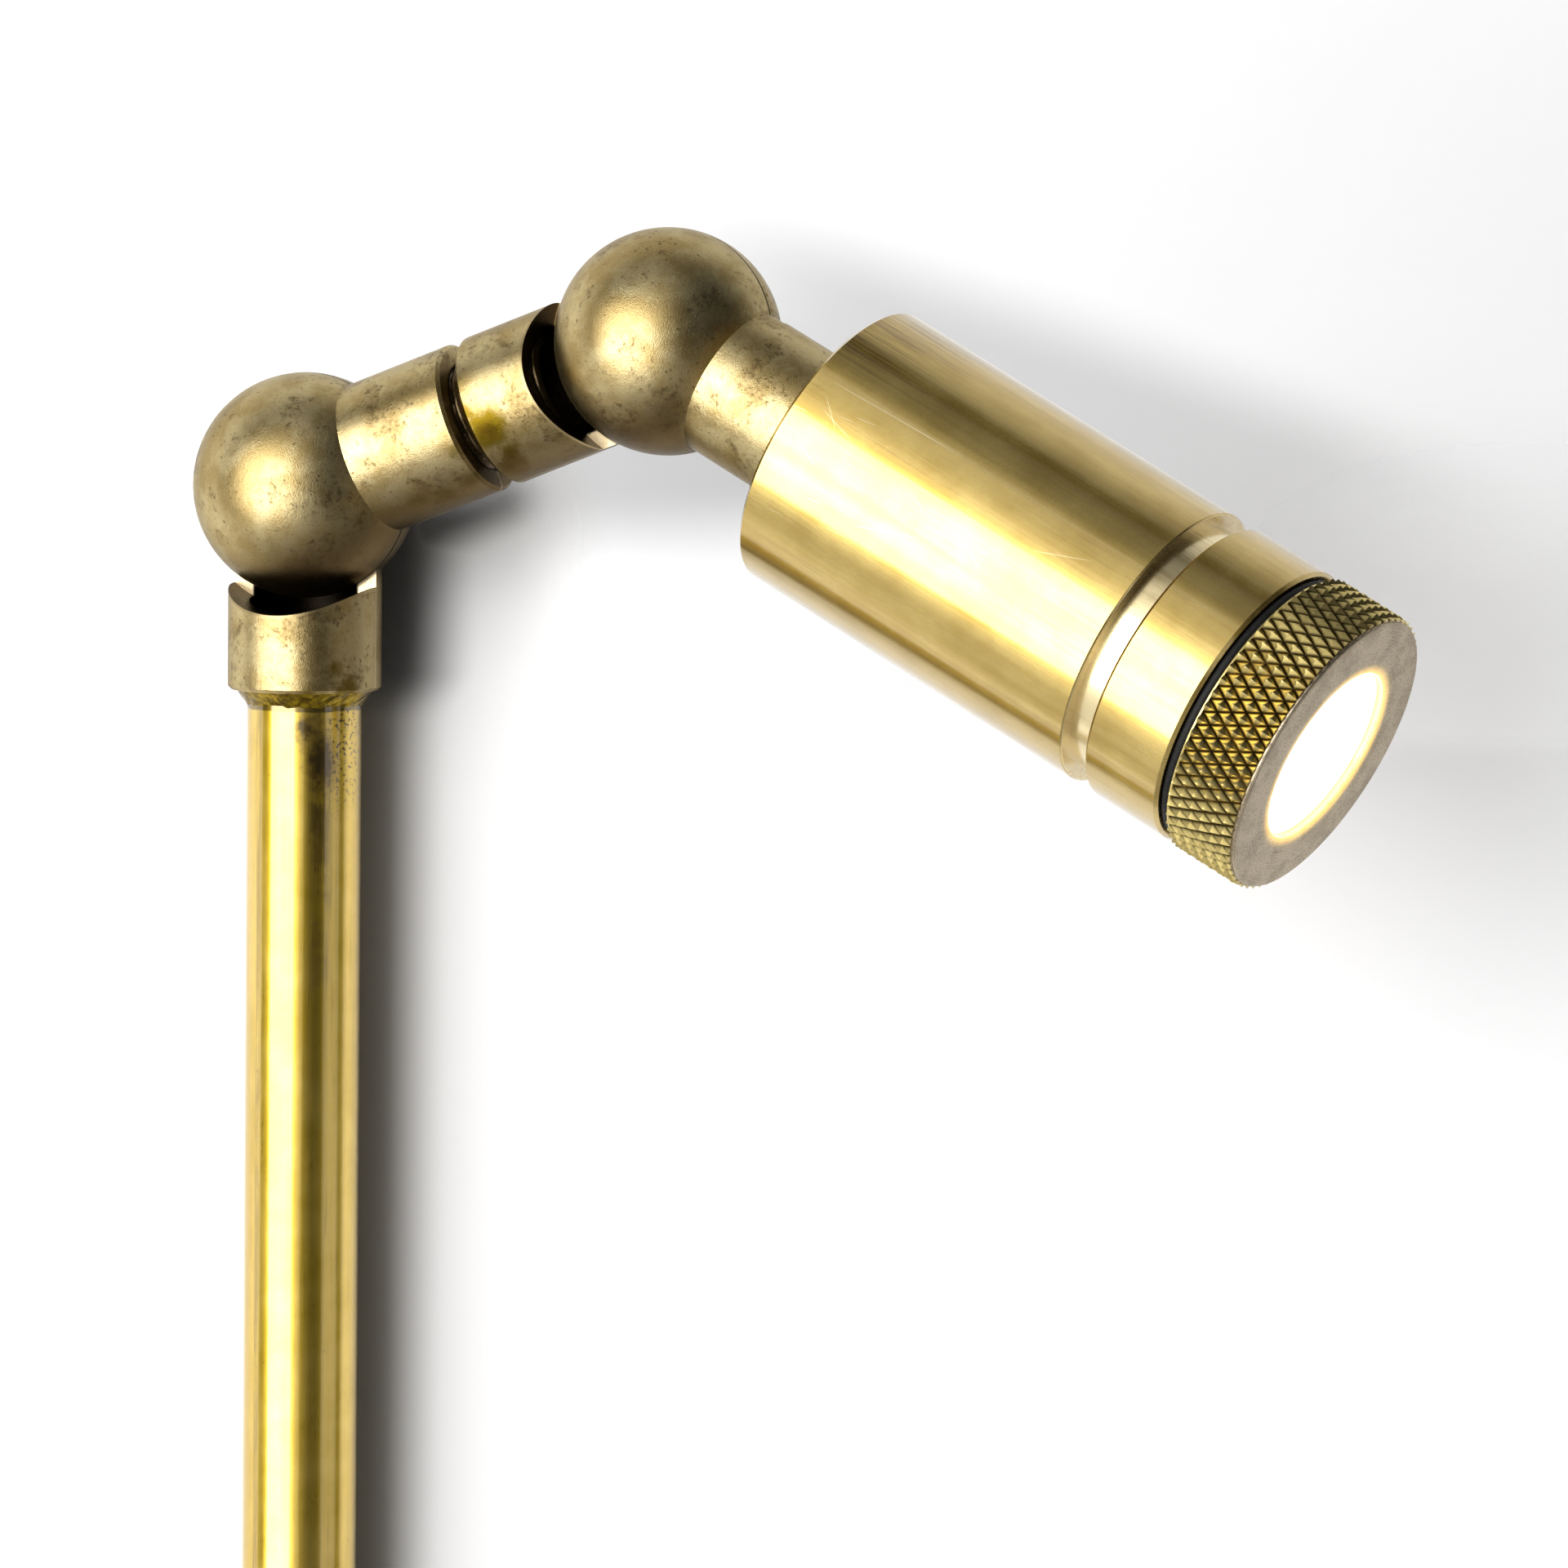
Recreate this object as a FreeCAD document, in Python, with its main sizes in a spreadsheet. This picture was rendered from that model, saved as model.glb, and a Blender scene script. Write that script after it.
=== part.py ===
import FreeCAD, Part
import math
import os
import re

import Sketcher

# Garden spike spotlight, all sizes in millimetres and degrees.
# +Z goes up the pole, and z = 0 is the ground line on the pole's axis.
# The arm bends towards +X, and both hinge axes lie along Y, front side at -Y.
# Overrun is how far a cutting tool reaches past the face it cuts.

SIZES = {
    "overrun": 1.0,
    # spike, flange and hub
    "spike_length": 150.0,
    "blade_half_width": 11.0,
    "blade_half_thickness": 1.5,
    "tip_half_width": 0.6,
    "stud_radius": 4.0,
    "stud_length": 8.0,
    "flange_radius": 30.0,
    "flange_thickness": 3.0,
    "hub_radius": 11.0,
    "hub_height": 36.0,
    "hub_round": 2.0,
    "hub_bite": 0.6,
    "hub_floor": 10.0,
    "entry_room": 9.0,
    "grub_radius": 2.0,
    "grub_drop": 7.0,
    "grub_inset": 0.5,
    "grub_key_radius": 1.0,
    # cable gland
    "cable_radius": 2.6,
    "gland_thread_radius": 3.7,
    "gland_seat": 10.4,
    "gland_seat_radius": 7.0,
    "gland_hex_flats": 10.0,
    "gland_hex_thickness": 3.0,
    "gland_nose_radius": 4.4,
    "gland_nose_length": 5.0,
    "seal_depth": 3.0,
    "seal_wall": 0.9,
    "seal_stand": 0.5,
    "gland_nut_flats": 11.0,
    "gland_nut_cap": 2.0,
    "gland_nut_skirt": 1.5,
    "gland_nut_crown": 0.8,
    "gland_nut_shoulder": 0.4,
    "gland_nut_taper": 1.4,
    # pole
    "pole_radius": 5.15,
    "pole_wall": 1.0,
    "swivel_height": 260.0,
    "socket_depth": 6.0,
    "braze_height": 1.25,
    "braze_width": 1.0,
    "braze_toe": 0.25,
    "braze_waist": 0.3,
    "braze_waist_drop": 0.75,
    # swivels: two halves of a ball, each with its own neck
    "ball_radius": 10.1,
    "seam_gap": 0.15,
    "scoop_radius": 11.3,
    "neck_radius": 6.9,
    "pole_neck_length": 18.3,
    "neck_length": 18.0,
    "edge_chamfer": 0.3,
    "wireway_radius": 5.0,
    "cavity_radius": 7.0,
    "cavity_depth": 4.2,
    "boss_radius": 3.2,
    "boss_setback": 0.3,
    "boss_overcut": 0.01,
    "wireway_start": 0.8,
    # pivot screw and its washers
    "shoulder_radius": 2.0,
    "screw_thread_radius": 1.5,
    "screw_thread_length": 5.0,
    "screw_hole_tail": 0.5,
    "screw_point": 0.3,
    "screw_head_radius": 3.5,
    "screw_head_height": 2.4,
    "slot_width": 1.0,
    "slot_depth": 1.2,
    "head_seat": 5.6,
    "head_room": 0.3,
    "washer_thickness": 0.4,
    "spring_thickness": 0.3,
    "spring_rise": 0.2,
    "thread_clearance": 0.02,
    "face_clearance": 0.02,
    "running_clearance": 0.05,
    # threaded nipples
    "nipple_wall": 1.1,
    "nipple_grip": 7.0,
    "arm_gap": 1.6,
    # pose of the swivels at rest
    "arm_bend": 68.5,
    "arm_twist": -6.4,
    "head_bend": 49.4,
    # lamp head, counted from its back face
    "neck_seal_thickness": 0.6,
    "head_radius": 13.4,
    "head_bore_radius": 10.5,
    "tube_length": 46.1,
    "groove_start": 35.7,
    "groove_width": 2.5,
    "groove_depth": 1.4,
    "spigot_radius": 12.0,
    "spigot_length": 5.0,
    "cap_thickness": 5.0,
    "nut_flats": 14.0,
    "nut_thickness": 2.5,
    "nipple_tail": 1.0,
    "cup_wall": 1.0,
    "cup_shelf": 1.4,
    "shelf_height": 7.0,
    "shelf_thickness": 0.8,
    "board_thickness": 1.0,
    "coil_radius": 3.4,
    "coil_wire_radius": 1.5,
    "coil_offset": 2.55,
    "capacitor_radius": 2.5,
    "capacitor_height": 6.5,
    "capacitor_gap": 0.8,
    "chip_length": 5.0,
    "chip_width": 4.0,
    "chip_height": 1.5,
    "chip_inset": 0.6,
    "chip_gap": 1.0,
    "sink_start": 24.0,
    "sink_length": 12.0,
    "lead_radius": 0.6,
    "lead_offset": 7.6,
    "lead_clearance": 0.2,
    "led_board_thickness": 1.5,
    "led_screw_radius": 1.0,
    "led_screw_length": 5.0,
    "led_screw_offset": 7.2,
    "led_screw_head_radius": 1.8,
    "led_screw_head_height": 1.3,
    "led_screw_joint": 0.1,
    "emitter_side": 3.5,
    "emitter_height": 0.7,
    "dome_radius": 1.5,
    "holder_wall": 0.7,
    "optic_throat_radius": 3.2,
    "optic_pocket_radius": 2.0,
    "optic_pocket_depth": 4.0,
    "optic_rim": 1.2,
    "optic_lift": 0.4,
    "optic_setback": 0.6,
    "optic_undercut": 0.4,
    "optic_low_reach": 0.45,
    "optic_low_height": 0.3,
    "optic_high_reach": 0.8,
    "optic_high_height": 0.7,
    "optic_pocket_tip": 0.6,
    "optic_pocket_flare": 0.2,
    "holder_setback": 0.3,
    "inner_clearance": 0.05,
    # bezel, its seals and the glass
    "ring_section": 0.95,
    "bezel_radius": 13.6,
    "bezel_length": 7.3,
    "bezel_chamfer": 0.3,
    "aperture_radius": 8.2,
    "lip_thickness": 0.8,
    "aperture_chamfer": 0.15,
    "glass_thickness": 1.6,
    "glass_clearance": 0.15,
    "gasket_width": 1.6,
}

doc = FreeCAD.newDocument("spike_spotlight")
sheet = doc.addObject("Spreadsheet::Sheet", "Sizes")
for row, (alias, number) in enumerate(SIZES.items(), start=1):
    sheet.set(f"A{row}", alias)
    sheet.set(f"B{row}", str(number))
    sheet.setAlias(f"B{row}", alias)
doc.recompute()

WORD = re.compile(r"[a-z_]{3,}")
X_AXIS = FreeCAD.Vector(1, 0, 0)
Y_AXIS = FreeCAD.Vector(0, 1, 0)
Z_AXIS = FreeCAD.Vector(0, 0, 1)
pieces = []


def bound(formula):
    """The formula with every size read from the sheet."""
    return WORD.sub(lambda m: "Sizes." + m.group() if m.group() in SIZES else m.group(), str(formula))


def value(formula):
    """The number that a formula of sizes comes to."""
    return float(sheet.evalExpression(bound(formula)))


def turn(axis, angle):
    return FreeCAD.Placement(FreeCAD.Vector(), FreeCAD.Rotation(axis, angle))


def shift(x=0, y=0, z=0):
    return FreeCAD.Placement(FreeCAD.Vector(value(x), value(y), value(z)), FreeCAD.Rotation())


def finished(obj, label, place):
    """Names a finished piece, sets it in its place and keeps it for export."""
    obj.Label = label
    obj.Placement = place
    pieces.append(obj)
    return obj


def primitive(kind, name, at=(0, 0, 0), turned_by=None, **sizes):
    """A Part primitive whose sizes and position are formulas."""
    obj = doc.addObject("Part::" + kind, name)
    if turned_by:
        obj.Placement = turned_by
    for prop, formula in sizes.items():
        obj.setExpression(prop, bound(formula))
    for letter, formula in zip("xyz", at):
        if formula != 0:
            obj.setExpression("Placement.Base." + letter, bound(formula))
    return obj


ALONG_Y = turn(X_AXIS, -90)
ALONG_X = turn(Y_AXIS, 90)


def rod(name, radius, start, length, along="z", beside=(0, 0)):
    """A round bar along z, or along y or x through the origin."""
    if along == "y":
        return primitive("Cylinder", name, (0, start, 0), ALONG_Y, Radius=radius, Height=length)
    if along == "x":
        return primitive("Cylinder", name, (start, 0, beside[1]), ALONG_X, Radius=radius, Height=length)
    return primitive("Cylinder", name, (beside[0], beside[1], start), Radius=radius, Height=length)


def block(name, low, span):
    """A box from its low corner and its three side lengths."""
    return primitive("Box", name, low, Length=span[0], Width=span[1], Height=span[2])


def hexagon(name, flats, start, length):
    """A hexagonal bar along z, from its width across flats."""
    corner = f"({flats}) / {math.sqrt(3):.9f}"
    prism = primitive("Prism", name, (0, 0, start), Circumradius=corner, Height=length)
    prism.Polygon = 6
    return prism


def fuse(name, *objects):
    obj = doc.addObject("Part::MultiFuse", name)
    obj.Shapes = list(objects)
    return obj


def cut(name, base, *tools):
    obj = doc.addObject("Part::Cut", name)
    obj.Base = base
    obj.Tool = tools[0] if len(tools) == 1 else fuse(name + "_tools", *tools)
    return obj


def common(name, first, second):
    obj = doc.addObject("Part::Common", name)
    obj.Base = first
    obj.Tool = second
    return obj


def turned(name, profile):
    """A turned piece: a closed profile of (radius, height) formulas, spun about z."""
    body = doc.addObject("PartDesign::Body", name)
    plane = next(f for f in body.Origin.OriginFeatures if f.Role == "XZ_Plane")
    sketch = body.newObject("Sketcher::SketchObject", name + "_profile")
    sketch.AttachmentSupport = [(plane, "")]
    sketch.MapMode = "FlatFace"
    corners = [FreeCAD.Vector(value(r), value(z), 0) for r, z in profile]
    count = len(corners)
    for i in range(count):
        sketch.addGeometry(Part.LineSegment(corners[i], corners[(i + 1) % count]), False)
    for i in range(count):
        sketch.addConstraint(Sketcher.Constraint("Coincident", i, 2, (i + 1) % count, 1))
    for i, formulas in enumerate(profile):
        for kind, rule, number in zip(("DistanceX", "DistanceY"), formulas, corners[i]):
            if rule == 0:
                line = -2 if kind == "DistanceX" else -1
                sketch.addConstraint(Sketcher.Constraint("PointOnObject", i, 1, line))
            else:
                index = sketch.addConstraint(Sketcher.Constraint(kind, -1, 1, i, 1, number))
                sketch.setExpression(f"Constraints[{index}]", bound(rule))
    spin = body.newObject("PartDesign::Revolution", name + "_spin")
    spin.Profile = sketch
    spin.ReferenceAxis = (sketch, ["V_Axis"])
    spin.Angle = 360
    body.Tip = spin
    return body


def sleeve(name, inner, outer, start, end):
    """A plain turned ring between two radii and two heights."""
    return turned(name, [(inner, start), (outer, start), (outer, end), (inner, end)])


# ---------------------------------------------------------------- frames of the chain
ground = FreeCAD.Placement()
lower_ball = shift(z="swivel_height")
arm = lower_ball * turn(Y_AXIS, value("arm_bend"))
elbow = arm * shift(z="2 * neck_length + arm_gap") * turn(Z_AXIS, value("arm_twist"))
head = elbow * turn(Y_AXIS, value("head_bend"))
head_back = head * shift(z="neck_length + neck_seal_thickness")
half_turn_y = turn(Y_AXIS, 180)
half_turn_z = turn(Z_AXIS, 180)

# ---------------------------------------------------------------- spike and flange
BLADE = {
    "Xmin": "-blade_half_width", "Xmax": "blade_half_width",
    "Zmin": "-blade_half_thickness", "Zmax": "blade_half_thickness",
    "Ymin": "0", "Ymax": "spike_length",
    "X2min": "-tip_half_width", "X2max": "tip_half_width",
    "Z2min": "-tip_half_width", "Z2max": "tip_half_width",
}


def spike_blade(name, angle):
    """One tapered blade, pointing down from the ground line."""
    blade = primitive("Wedge", name, **BLADE)
    blade.Placement = turn(Z_AXIS, angle) * turn(X_AXIS, -90)
    return blade


spike_stud = rod("spike_stud", "stud_radius - thread_clearance", "-blade_half_thickness",
                 "blade_half_thickness + flange_thickness + stud_length")
spike = fuse("spike", spike_blade("blade_x", 0), spike_blade("blade_y", 90), spike_stud)
finished(spike, "ground_spike", ground)

flange = turned("flange", [
    ("stud_radius", 0),
    ("flange_radius - edge_chamfer", 0),
    ("flange_radius", "edge_chamfer"),
    ("flange_radius", "flange_thickness - 2 * edge_chamfer"),
    ("flange_radius - 2 * edge_chamfer", "flange_thickness"),
    ("stud_radius", "flange_thickness"),
])
finished(flange, "ground_flange", ground)

# ---------------------------------------------------------------- hub and grub screws
HUB_BOTTOM = "flange_thickness"
STUD_TOP = "(flange_thickness + stud_length)"
ROOM_FLOOR = "(flange_thickness + hub_floor)"
POLE_SEAT = "(flange_thickness + hub_floor + entry_room)"
HUB_TOP = "(flange_thickness + hub_height)"
GLAND_HEIGHT = f"({ROOM_FLOOR} + entry_room / 2)"
POLE_BORE = "(pole_radius - pole_wall)"
POLE_HOLE = "(pole_radius + thread_clearance)"
GRUB_HEIGHT = f"({HUB_TOP} - grub_drop)"

hub_turning = turned("hub_turning", [
    ("stud_radius", HUB_BOTTOM),
    ("hub_radius - edge_chamfer", HUB_BOTTOM),
    ("hub_radius", f"{HUB_BOTTOM} + edge_chamfer"),
    ("hub_radius", f"{HUB_TOP} - hub_round"),
    ("hub_radius - hub_bite", f"{HUB_TOP} - hub_bite"),
    ("hub_radius - hub_round", HUB_TOP),
    (POLE_HOLE, HUB_TOP),
    (POLE_HOLE, POLE_SEAT),
    (POLE_BORE, POLE_SEAT),
    (POLE_BORE, ROOM_FLOOR),
    (0, ROOM_FLOOR),
    (0, f"{STUD_TOP} + edge_chamfer"),
    ("stud_radius", f"{STUD_TOP} + edge_chamfer"),
])
gland_hole = rod("gland_hole", "gland_thread_radius + thread_clearance", "-hub_radius - overrun",
                 "hub_radius + overrun", "x", (0, GLAND_HEIGHT))
gland_face = rod("gland_face", "gland_seat_radius", "-hub_radius - overrun",
                 "hub_radius + overrun - gland_seat", "x", (0, GLAND_HEIGHT))
grub_hole = rod("grub_hole", "grub_radius + thread_clearance", "-hub_radius - overrun",
                "2 * (hub_radius + overrun)", "y")
grub_hole.setExpression("Placement.Base.z", bound(GRUB_HEIGHT))
hub = cut("hub", hub_turning, gland_hole, gland_face, grub_hole)
finished(hub, "base_hub", ground)

# two socket-head grub screws, one on each side of the pole, end flush in the hub
GRUB_TIP = "pole_radius"
GRUB_LENGTH = "(hub_radius - grub_inset - pole_radius)"


def grub_screw(name, angle):
    """A set screw whose tip bears on the pole and whose key socket faces out."""
    screw = cut(name, rod(name + "_bar", "grub_radius", GRUB_TIP, GRUB_LENGTH),
                hexagon(name + "_key", "2 * grub_key_radius", f"{GRUB_TIP} + {GRUB_LENGTH} / 2", GRUB_LENGTH))
    screw.Placement = shift(z=GRUB_HEIGHT) * turn(X_AXIS, angle)
    return screw


grubs = doc.addObject("Part::Compound", "grubs")
grubs.Links = [grub_screw("grub_front", 90), grub_screw("grub_rear", -90)]
finished(grubs, "hub_grub_screws", ground)

# ---------------------------------------------------------------- cable gland
gland_place = shift(z=GLAND_HEIGHT) * turn(Y_AXIS, -90)
HEX_END = "(gland_seat + gland_hex_thickness)"
NOSE_END = "(gland_seat + gland_hex_thickness + gland_nose_length)"
SEAL_RADIUS = "(cable_radius + seal_wall)"
NUT_START = f"({HEX_END} + 4 * edge_chamfer)"

gland_hex = hexagon("gland_hex", "gland_hex_flats", "gland_seat", "gland_hex_thickness")
gland_thread = rod("gland_thread", "gland_thread_radius", "pole_radius", "gland_seat - pole_radius + overrun")
gland_nose = rod("gland_nose", "gland_nose_radius", f"{HEX_END} - overrun", "gland_nose_length + overrun")
gland_bore = rod("gland_bore", "cable_radius", "0", NOSE_END)
gland_pocket = rod("gland_pocket", f"{SEAL_RADIUS} + thread_clearance", f"{NOSE_END} - seal_depth",
                   "seal_depth + overrun")
gland = cut("gland", fuse("gland_solid", gland_hex, gland_thread, gland_nose), gland_bore, gland_pocket)
finished(gland, "gland_body", gland_place)

seal = sleeve("seal", "cable_radius", SEAL_RADIUS, f"{NOSE_END} - seal_depth", f"{NOSE_END} + seal_stand")
finished(seal, "gland_seal", gland_place)

nut_hex = hexagon("nut_hex", "gland_nut_flats", NUT_START, f"{NOSE_END} + seal_stand - {NUT_START} - overrun")
nut_cap = turned("nut_cap", [
    (0, f"{NOSE_END} + seal_stand - gland_nut_skirt"),
    ("gland_nut_flats / 2", f"{NOSE_END} + seal_stand - gland_nut_skirt"),
    ("gland_nut_flats / 2 - gland_nut_shoulder", f"{NOSE_END} + seal_stand + gland_nut_cap - gland_nut_crown"),
    ("gland_nut_flats / 2 - gland_nut_taper", f"{NOSE_END} + seal_stand + gland_nut_cap"),
    (0, f"{NOSE_END} + seal_stand + gland_nut_cap"),
])
nut_thread = rod("nut_thread", "gland_nose_radius + thread_clearance", "0", f"{NOSE_END} + seal_stand")
nut_hole = rod("nut_hole", "cable_radius", "0", f"{NOSE_END} + seal_stand + gland_nut_cap + overrun")
gland_nut = cut("gland_cap", fuse("nut_solid", nut_hex, nut_cap), nut_thread, nut_hole)
finished(gland_nut, "gland_nut", gland_place)

# ---------------------------------------------------------------- pole and its brazed joint
POLE_TOP = "(swivel_height - pole_neck_length + socket_depth)"
NECK_BOTTOM = "(swivel_height - pole_neck_length)"
pole = sleeve("pole", POLE_BORE, "pole_radius", POLE_SEAT, POLE_TOP)
finished(pole, "pole_tube", ground)

braze = turned("braze", [
    ("pole_radius", f"{NECK_BOTTOM} - braze_height"),
    ("pole_radius + braze_toe", f"{NECK_BOTTOM} - braze_height"),
    ("pole_radius + braze_toe + braze_waist", f"{NECK_BOTTOM} - braze_waist_drop"),
    ("pole_radius + braze_toe + braze_width", NECK_BOTTOM),
    ("pole_radius", NECK_BOTTOM),
])
finished(braze, "braze_fillet", ground)

# ---------------------------------------------------------------- the four knuckle halves
SPLIT = "(seam_gap / 2)"
BOSS_FACE = "(seam_gap / 2 + boss_setback)"
COUNTERBORE = "(screw_head_radius + head_room)"


def knuckle_half(name, length, screw_side, socket=None):
    """Half a ball on the +Y side of the split, with a full round neck along +Z.
    The neck's other side is milled away by a cylinder about the hinge axis, so the other half can turn.
    screw_side is "seat" where the screw's head sits, and "thread" where its end screws in."""
    reach = "2 * ball_radius"
    slab = block(name + "_slab", ("-ball_radius", SPLIT, "-ball_radius"), (reach, "ball_radius", reach))
    half_ball = common(name + "_dome", primitive("Sphere", name + "_ball", Radius="ball_radius"), slab)
    neck = rod(name + "_bar", "neck_radius", "0", f"{length} - edge_chamfer")
    rim = primitive("Cone", name + "_rim", (0, 0, f"{length} - edge_chamfer"), Radius1="neck_radius",
                    Radius2="neck_radius - edge_chamfer", Height="edge_chamfer")
    scoop = rod(name + "_scoop", "scoop_radius", "-2 * neck_radius", f"2 * neck_radius + {SPLIT}", "y")
    solid = cut(name + "_blank", fuse(name + "_solid", half_ball, neck, rim), scoop)

    room = cut(name + "_room", rod(name + "_cavity", "cavity_radius", "0", "cavity_depth", "y"),
               rod(name + "_boss", "boss_radius", "-overrun", "cavity_depth + 2 * overrun", "y"))
    face = rod(name + "_boss_face", "boss_radius + boss_overcut", "0", BOSS_FACE, "y")
    wireway = rod(name + "_wireway", "wireway_radius", "boss_radius + wireway_start", length)
    if screw_side == "seat":
        screw_holes = [
            rod(name + "_hole", "shoulder_radius + running_clearance", "0", "ball_radius", "y"),
            rod(name + "_seat", COUNTERBORE, "head_seat", "ball_radius", "y"),
        ]
    else:
        screw_holes = [rod(name + "_hole", "screw_thread_radius + thread_clearance", "0",
                           f"{BOSS_FACE} + screw_thread_length + screw_hole_tail", "y")]
    tools = [room, face, wireway] + screw_holes
    if socket:
        tools.append(rod(name + "_socket", POLE_HOLE, f"{length} - {socket}", f"{socket} + overrun"))
    return cut(name, solid, *tools)


pole_knuckle = knuckle_half("lower_rear", "pole_neck_length", "seat", "socket_depth")
finished(pole_knuckle, "pole_knuckle", lower_ball * half_turn_y)
arm_lower_knuckle = knuckle_half("lower_front", "neck_length", "thread")
finished(arm_lower_knuckle, "arm_lower_knuckle", arm * half_turn_z)
arm_upper_knuckle = knuckle_half("upper_rear", "neck_length", "seat")
finished(arm_upper_knuckle, "arm_upper_knuckle", elbow * half_turn_y)
head_knuckle = knuckle_half("upper_front", "neck_length", "thread")
finished(head_knuckle, "head_knuckle", head * half_turn_z)

# ---------------------------------------------------------------- pivot screws and washers
WASHER_TOP = "(head_seat + washer_thickness)"
HEAD_FOOT = "(head_seat + washer_thickness + spring_thickness + spring_rise)"
HEAD_TOP = f"({HEAD_FOOT} + screw_head_height)"
SHOULDER_BORE = "(shoulder_radius + running_clearance)"
WASHER_RADIUS = "(screw_head_radius)"


def pivot_stack(prefix, place):
    """The shoulder screw along the hinge axis and the washers on it, front end at low z."""
    bar = turned(prefix + "_screw_bar", [
        (0, f"-{BOSS_FACE} - screw_thread_length"),
        ("screw_thread_radius - screw_point", f"-{BOSS_FACE} - screw_thread_length"),
        ("screw_thread_radius", f"-{BOSS_FACE} - screw_thread_length + screw_point"),
        ("screw_thread_radius", f"-{BOSS_FACE}"),
        ("shoulder_radius", f"-{BOSS_FACE}"),
        ("shoulder_radius", HEAD_FOOT),
        ("screw_head_radius", HEAD_FOOT),
        ("screw_head_radius", f"{HEAD_TOP} - edge_chamfer"),
        ("screw_head_radius - edge_chamfer", HEAD_TOP),
        (0, HEAD_TOP),
    ])
    slot = block(prefix + "_slot", ("-screw_head_radius", "-slot_width / 2", f"{HEAD_TOP} - slot_depth"),
                 ("2 * screw_head_radius", "slot_width", "slot_depth + overrun"))
    finished(cut(prefix + "_screw", bar, slot), prefix + "_pivot_screw", place)
    thrust = sleeve(prefix + "_thrust", SHOULDER_BORE, WASHER_RADIUS, "head_seat + face_clearance", WASHER_TOP)
    finished(thrust, prefix + "_thrust_washer", place)
    spring = turned(prefix + "_spring", [
        (SHOULDER_BORE, f"{WASHER_TOP} + spring_rise"),
        (WASHER_RADIUS, WASHER_TOP),
        (WASHER_RADIUS, f"{WASHER_TOP} + spring_thickness"),
        (SHOULDER_BORE, HEAD_FOOT),
    ])
    finished(spring, prefix + "_spring_washer", place)
    disc = sleeve(prefix + "_disc", SHOULDER_BORE, "boss_radius - running_clearance",
                  f"-{BOSS_FACE}", f"{BOSS_FACE} - face_clearance")
    finished(disc, prefix + "_friction_disc", place)


pivot_stack("lower", arm * ALONG_Y)
pivot_stack("upper", head * ALONG_Y)

# ---------------------------------------------------------------- threaded nipples
NIPPLE_RADIUS = "(wireway_radius - thread_clearance)"
NIPPLE_BORE = "(wireway_radius - nipple_wall)"
arm_nipple = sleeve("arm_tube", NIPPLE_BORE, NIPPLE_RADIUS, "neck_length - nipple_grip",
                    "neck_length + arm_gap + nipple_grip")
finished(arm_nipple, "arm_nipple", arm)

head_nipple = sleeve("head_tube_nipple", NIPPLE_BORE, NIPPLE_RADIUS,
                     "-neck_seal_thickness - nipple_grip", "cap_thickness + nut_thickness + nipple_tail")
finished(head_nipple, "head_nipple", head_back)

nut_blank = hexagon("lock_nut_hex", "nut_flats", "cap_thickness", "nut_thickness")
nut_bore = rod("lock_nut_hole", "wireway_radius", "0", "cap_thickness + nut_thickness + overrun")
finished(cut("lock_nut", nut_blank, nut_bore), "head_lock_nut", head_back)

neck_seal = sleeve("neck_seal_ring", "wireway_radius", "neck_radius - edge_chamfer",
                   "-neck_seal_thickness", "0")
finished(neck_seal, "neck_seal", head_back)

# ---------------------------------------------------------------- lamp head
CAP_RADIUS = "(head_bore_radius - thread_clearance)"
rear_cap = sleeve("rear_cap", "wireway_radius", CAP_RADIUS, "0", "cap_thickness")
finished(rear_cap, "head_rear_cap", head_back)

GROOVE_END = "(groove_start + groove_width)"
SPIGOT_END = "(tube_length + spigot_length)"
tube = turned("tube", [
    ("head_bore_radius", "0"),
    ("head_radius - edge_chamfer", "0"),
    ("head_radius", "edge_chamfer"),
    ("head_radius", "groove_start - edge_chamfer / 2"),
    ("head_radius - edge_chamfer / 2", "groove_start"),
    ("head_radius - groove_depth", "groove_start"),
    ("head_radius - groove_depth", GROOVE_END),
    ("head_radius - edge_chamfer", GROOVE_END),
    ("head_radius", f"{GROOVE_END} + edge_chamfer"),
    ("head_radius", "tube_length - edge_chamfer"),
    ("head_radius - edge_chamfer", "tube_length"),
    ("spigot_radius", "tube_length"),
    ("spigot_radius", SPIGOT_END),
    ("head_bore_radius", SPIGOT_END),
])
finished(tube, "head_tube", head_back)

# driver, in a plastic cup between the rear cap and the heat sink
LINER = "(head_bore_radius - inner_clearance)"
CUP_BORE = "(head_bore_radius - inner_clearance - cup_wall)"
SHELF_TOP = "(cap_thickness + shelf_height + shelf_thickness)"
BOARD_TOP = "(cap_thickness + shelf_height + shelf_thickness + board_thickness)"
cup = turned("cup", [
    (CUP_BORE, "cap_thickness"),
    (LINER, "cap_thickness"),
    (LINER, "sink_start"),
    (CUP_BORE, "sink_start"),
    (CUP_BORE, SHELF_TOP),
    (f"{CUP_BORE} - cup_shelf", SHELF_TOP),
    (f"{CUP_BORE} - cup_shelf", "cap_thickness + shelf_height"),
    (CUP_BORE, "cap_thickness + shelf_height"),
])
finished(cup, "driver_cup", head_back)

board = rod("board", f"{CUP_BORE} - inner_clearance", 0, "board_thickness")
finished(board, "driver_board", head_back * shift(z=SHELF_TOP))

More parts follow.
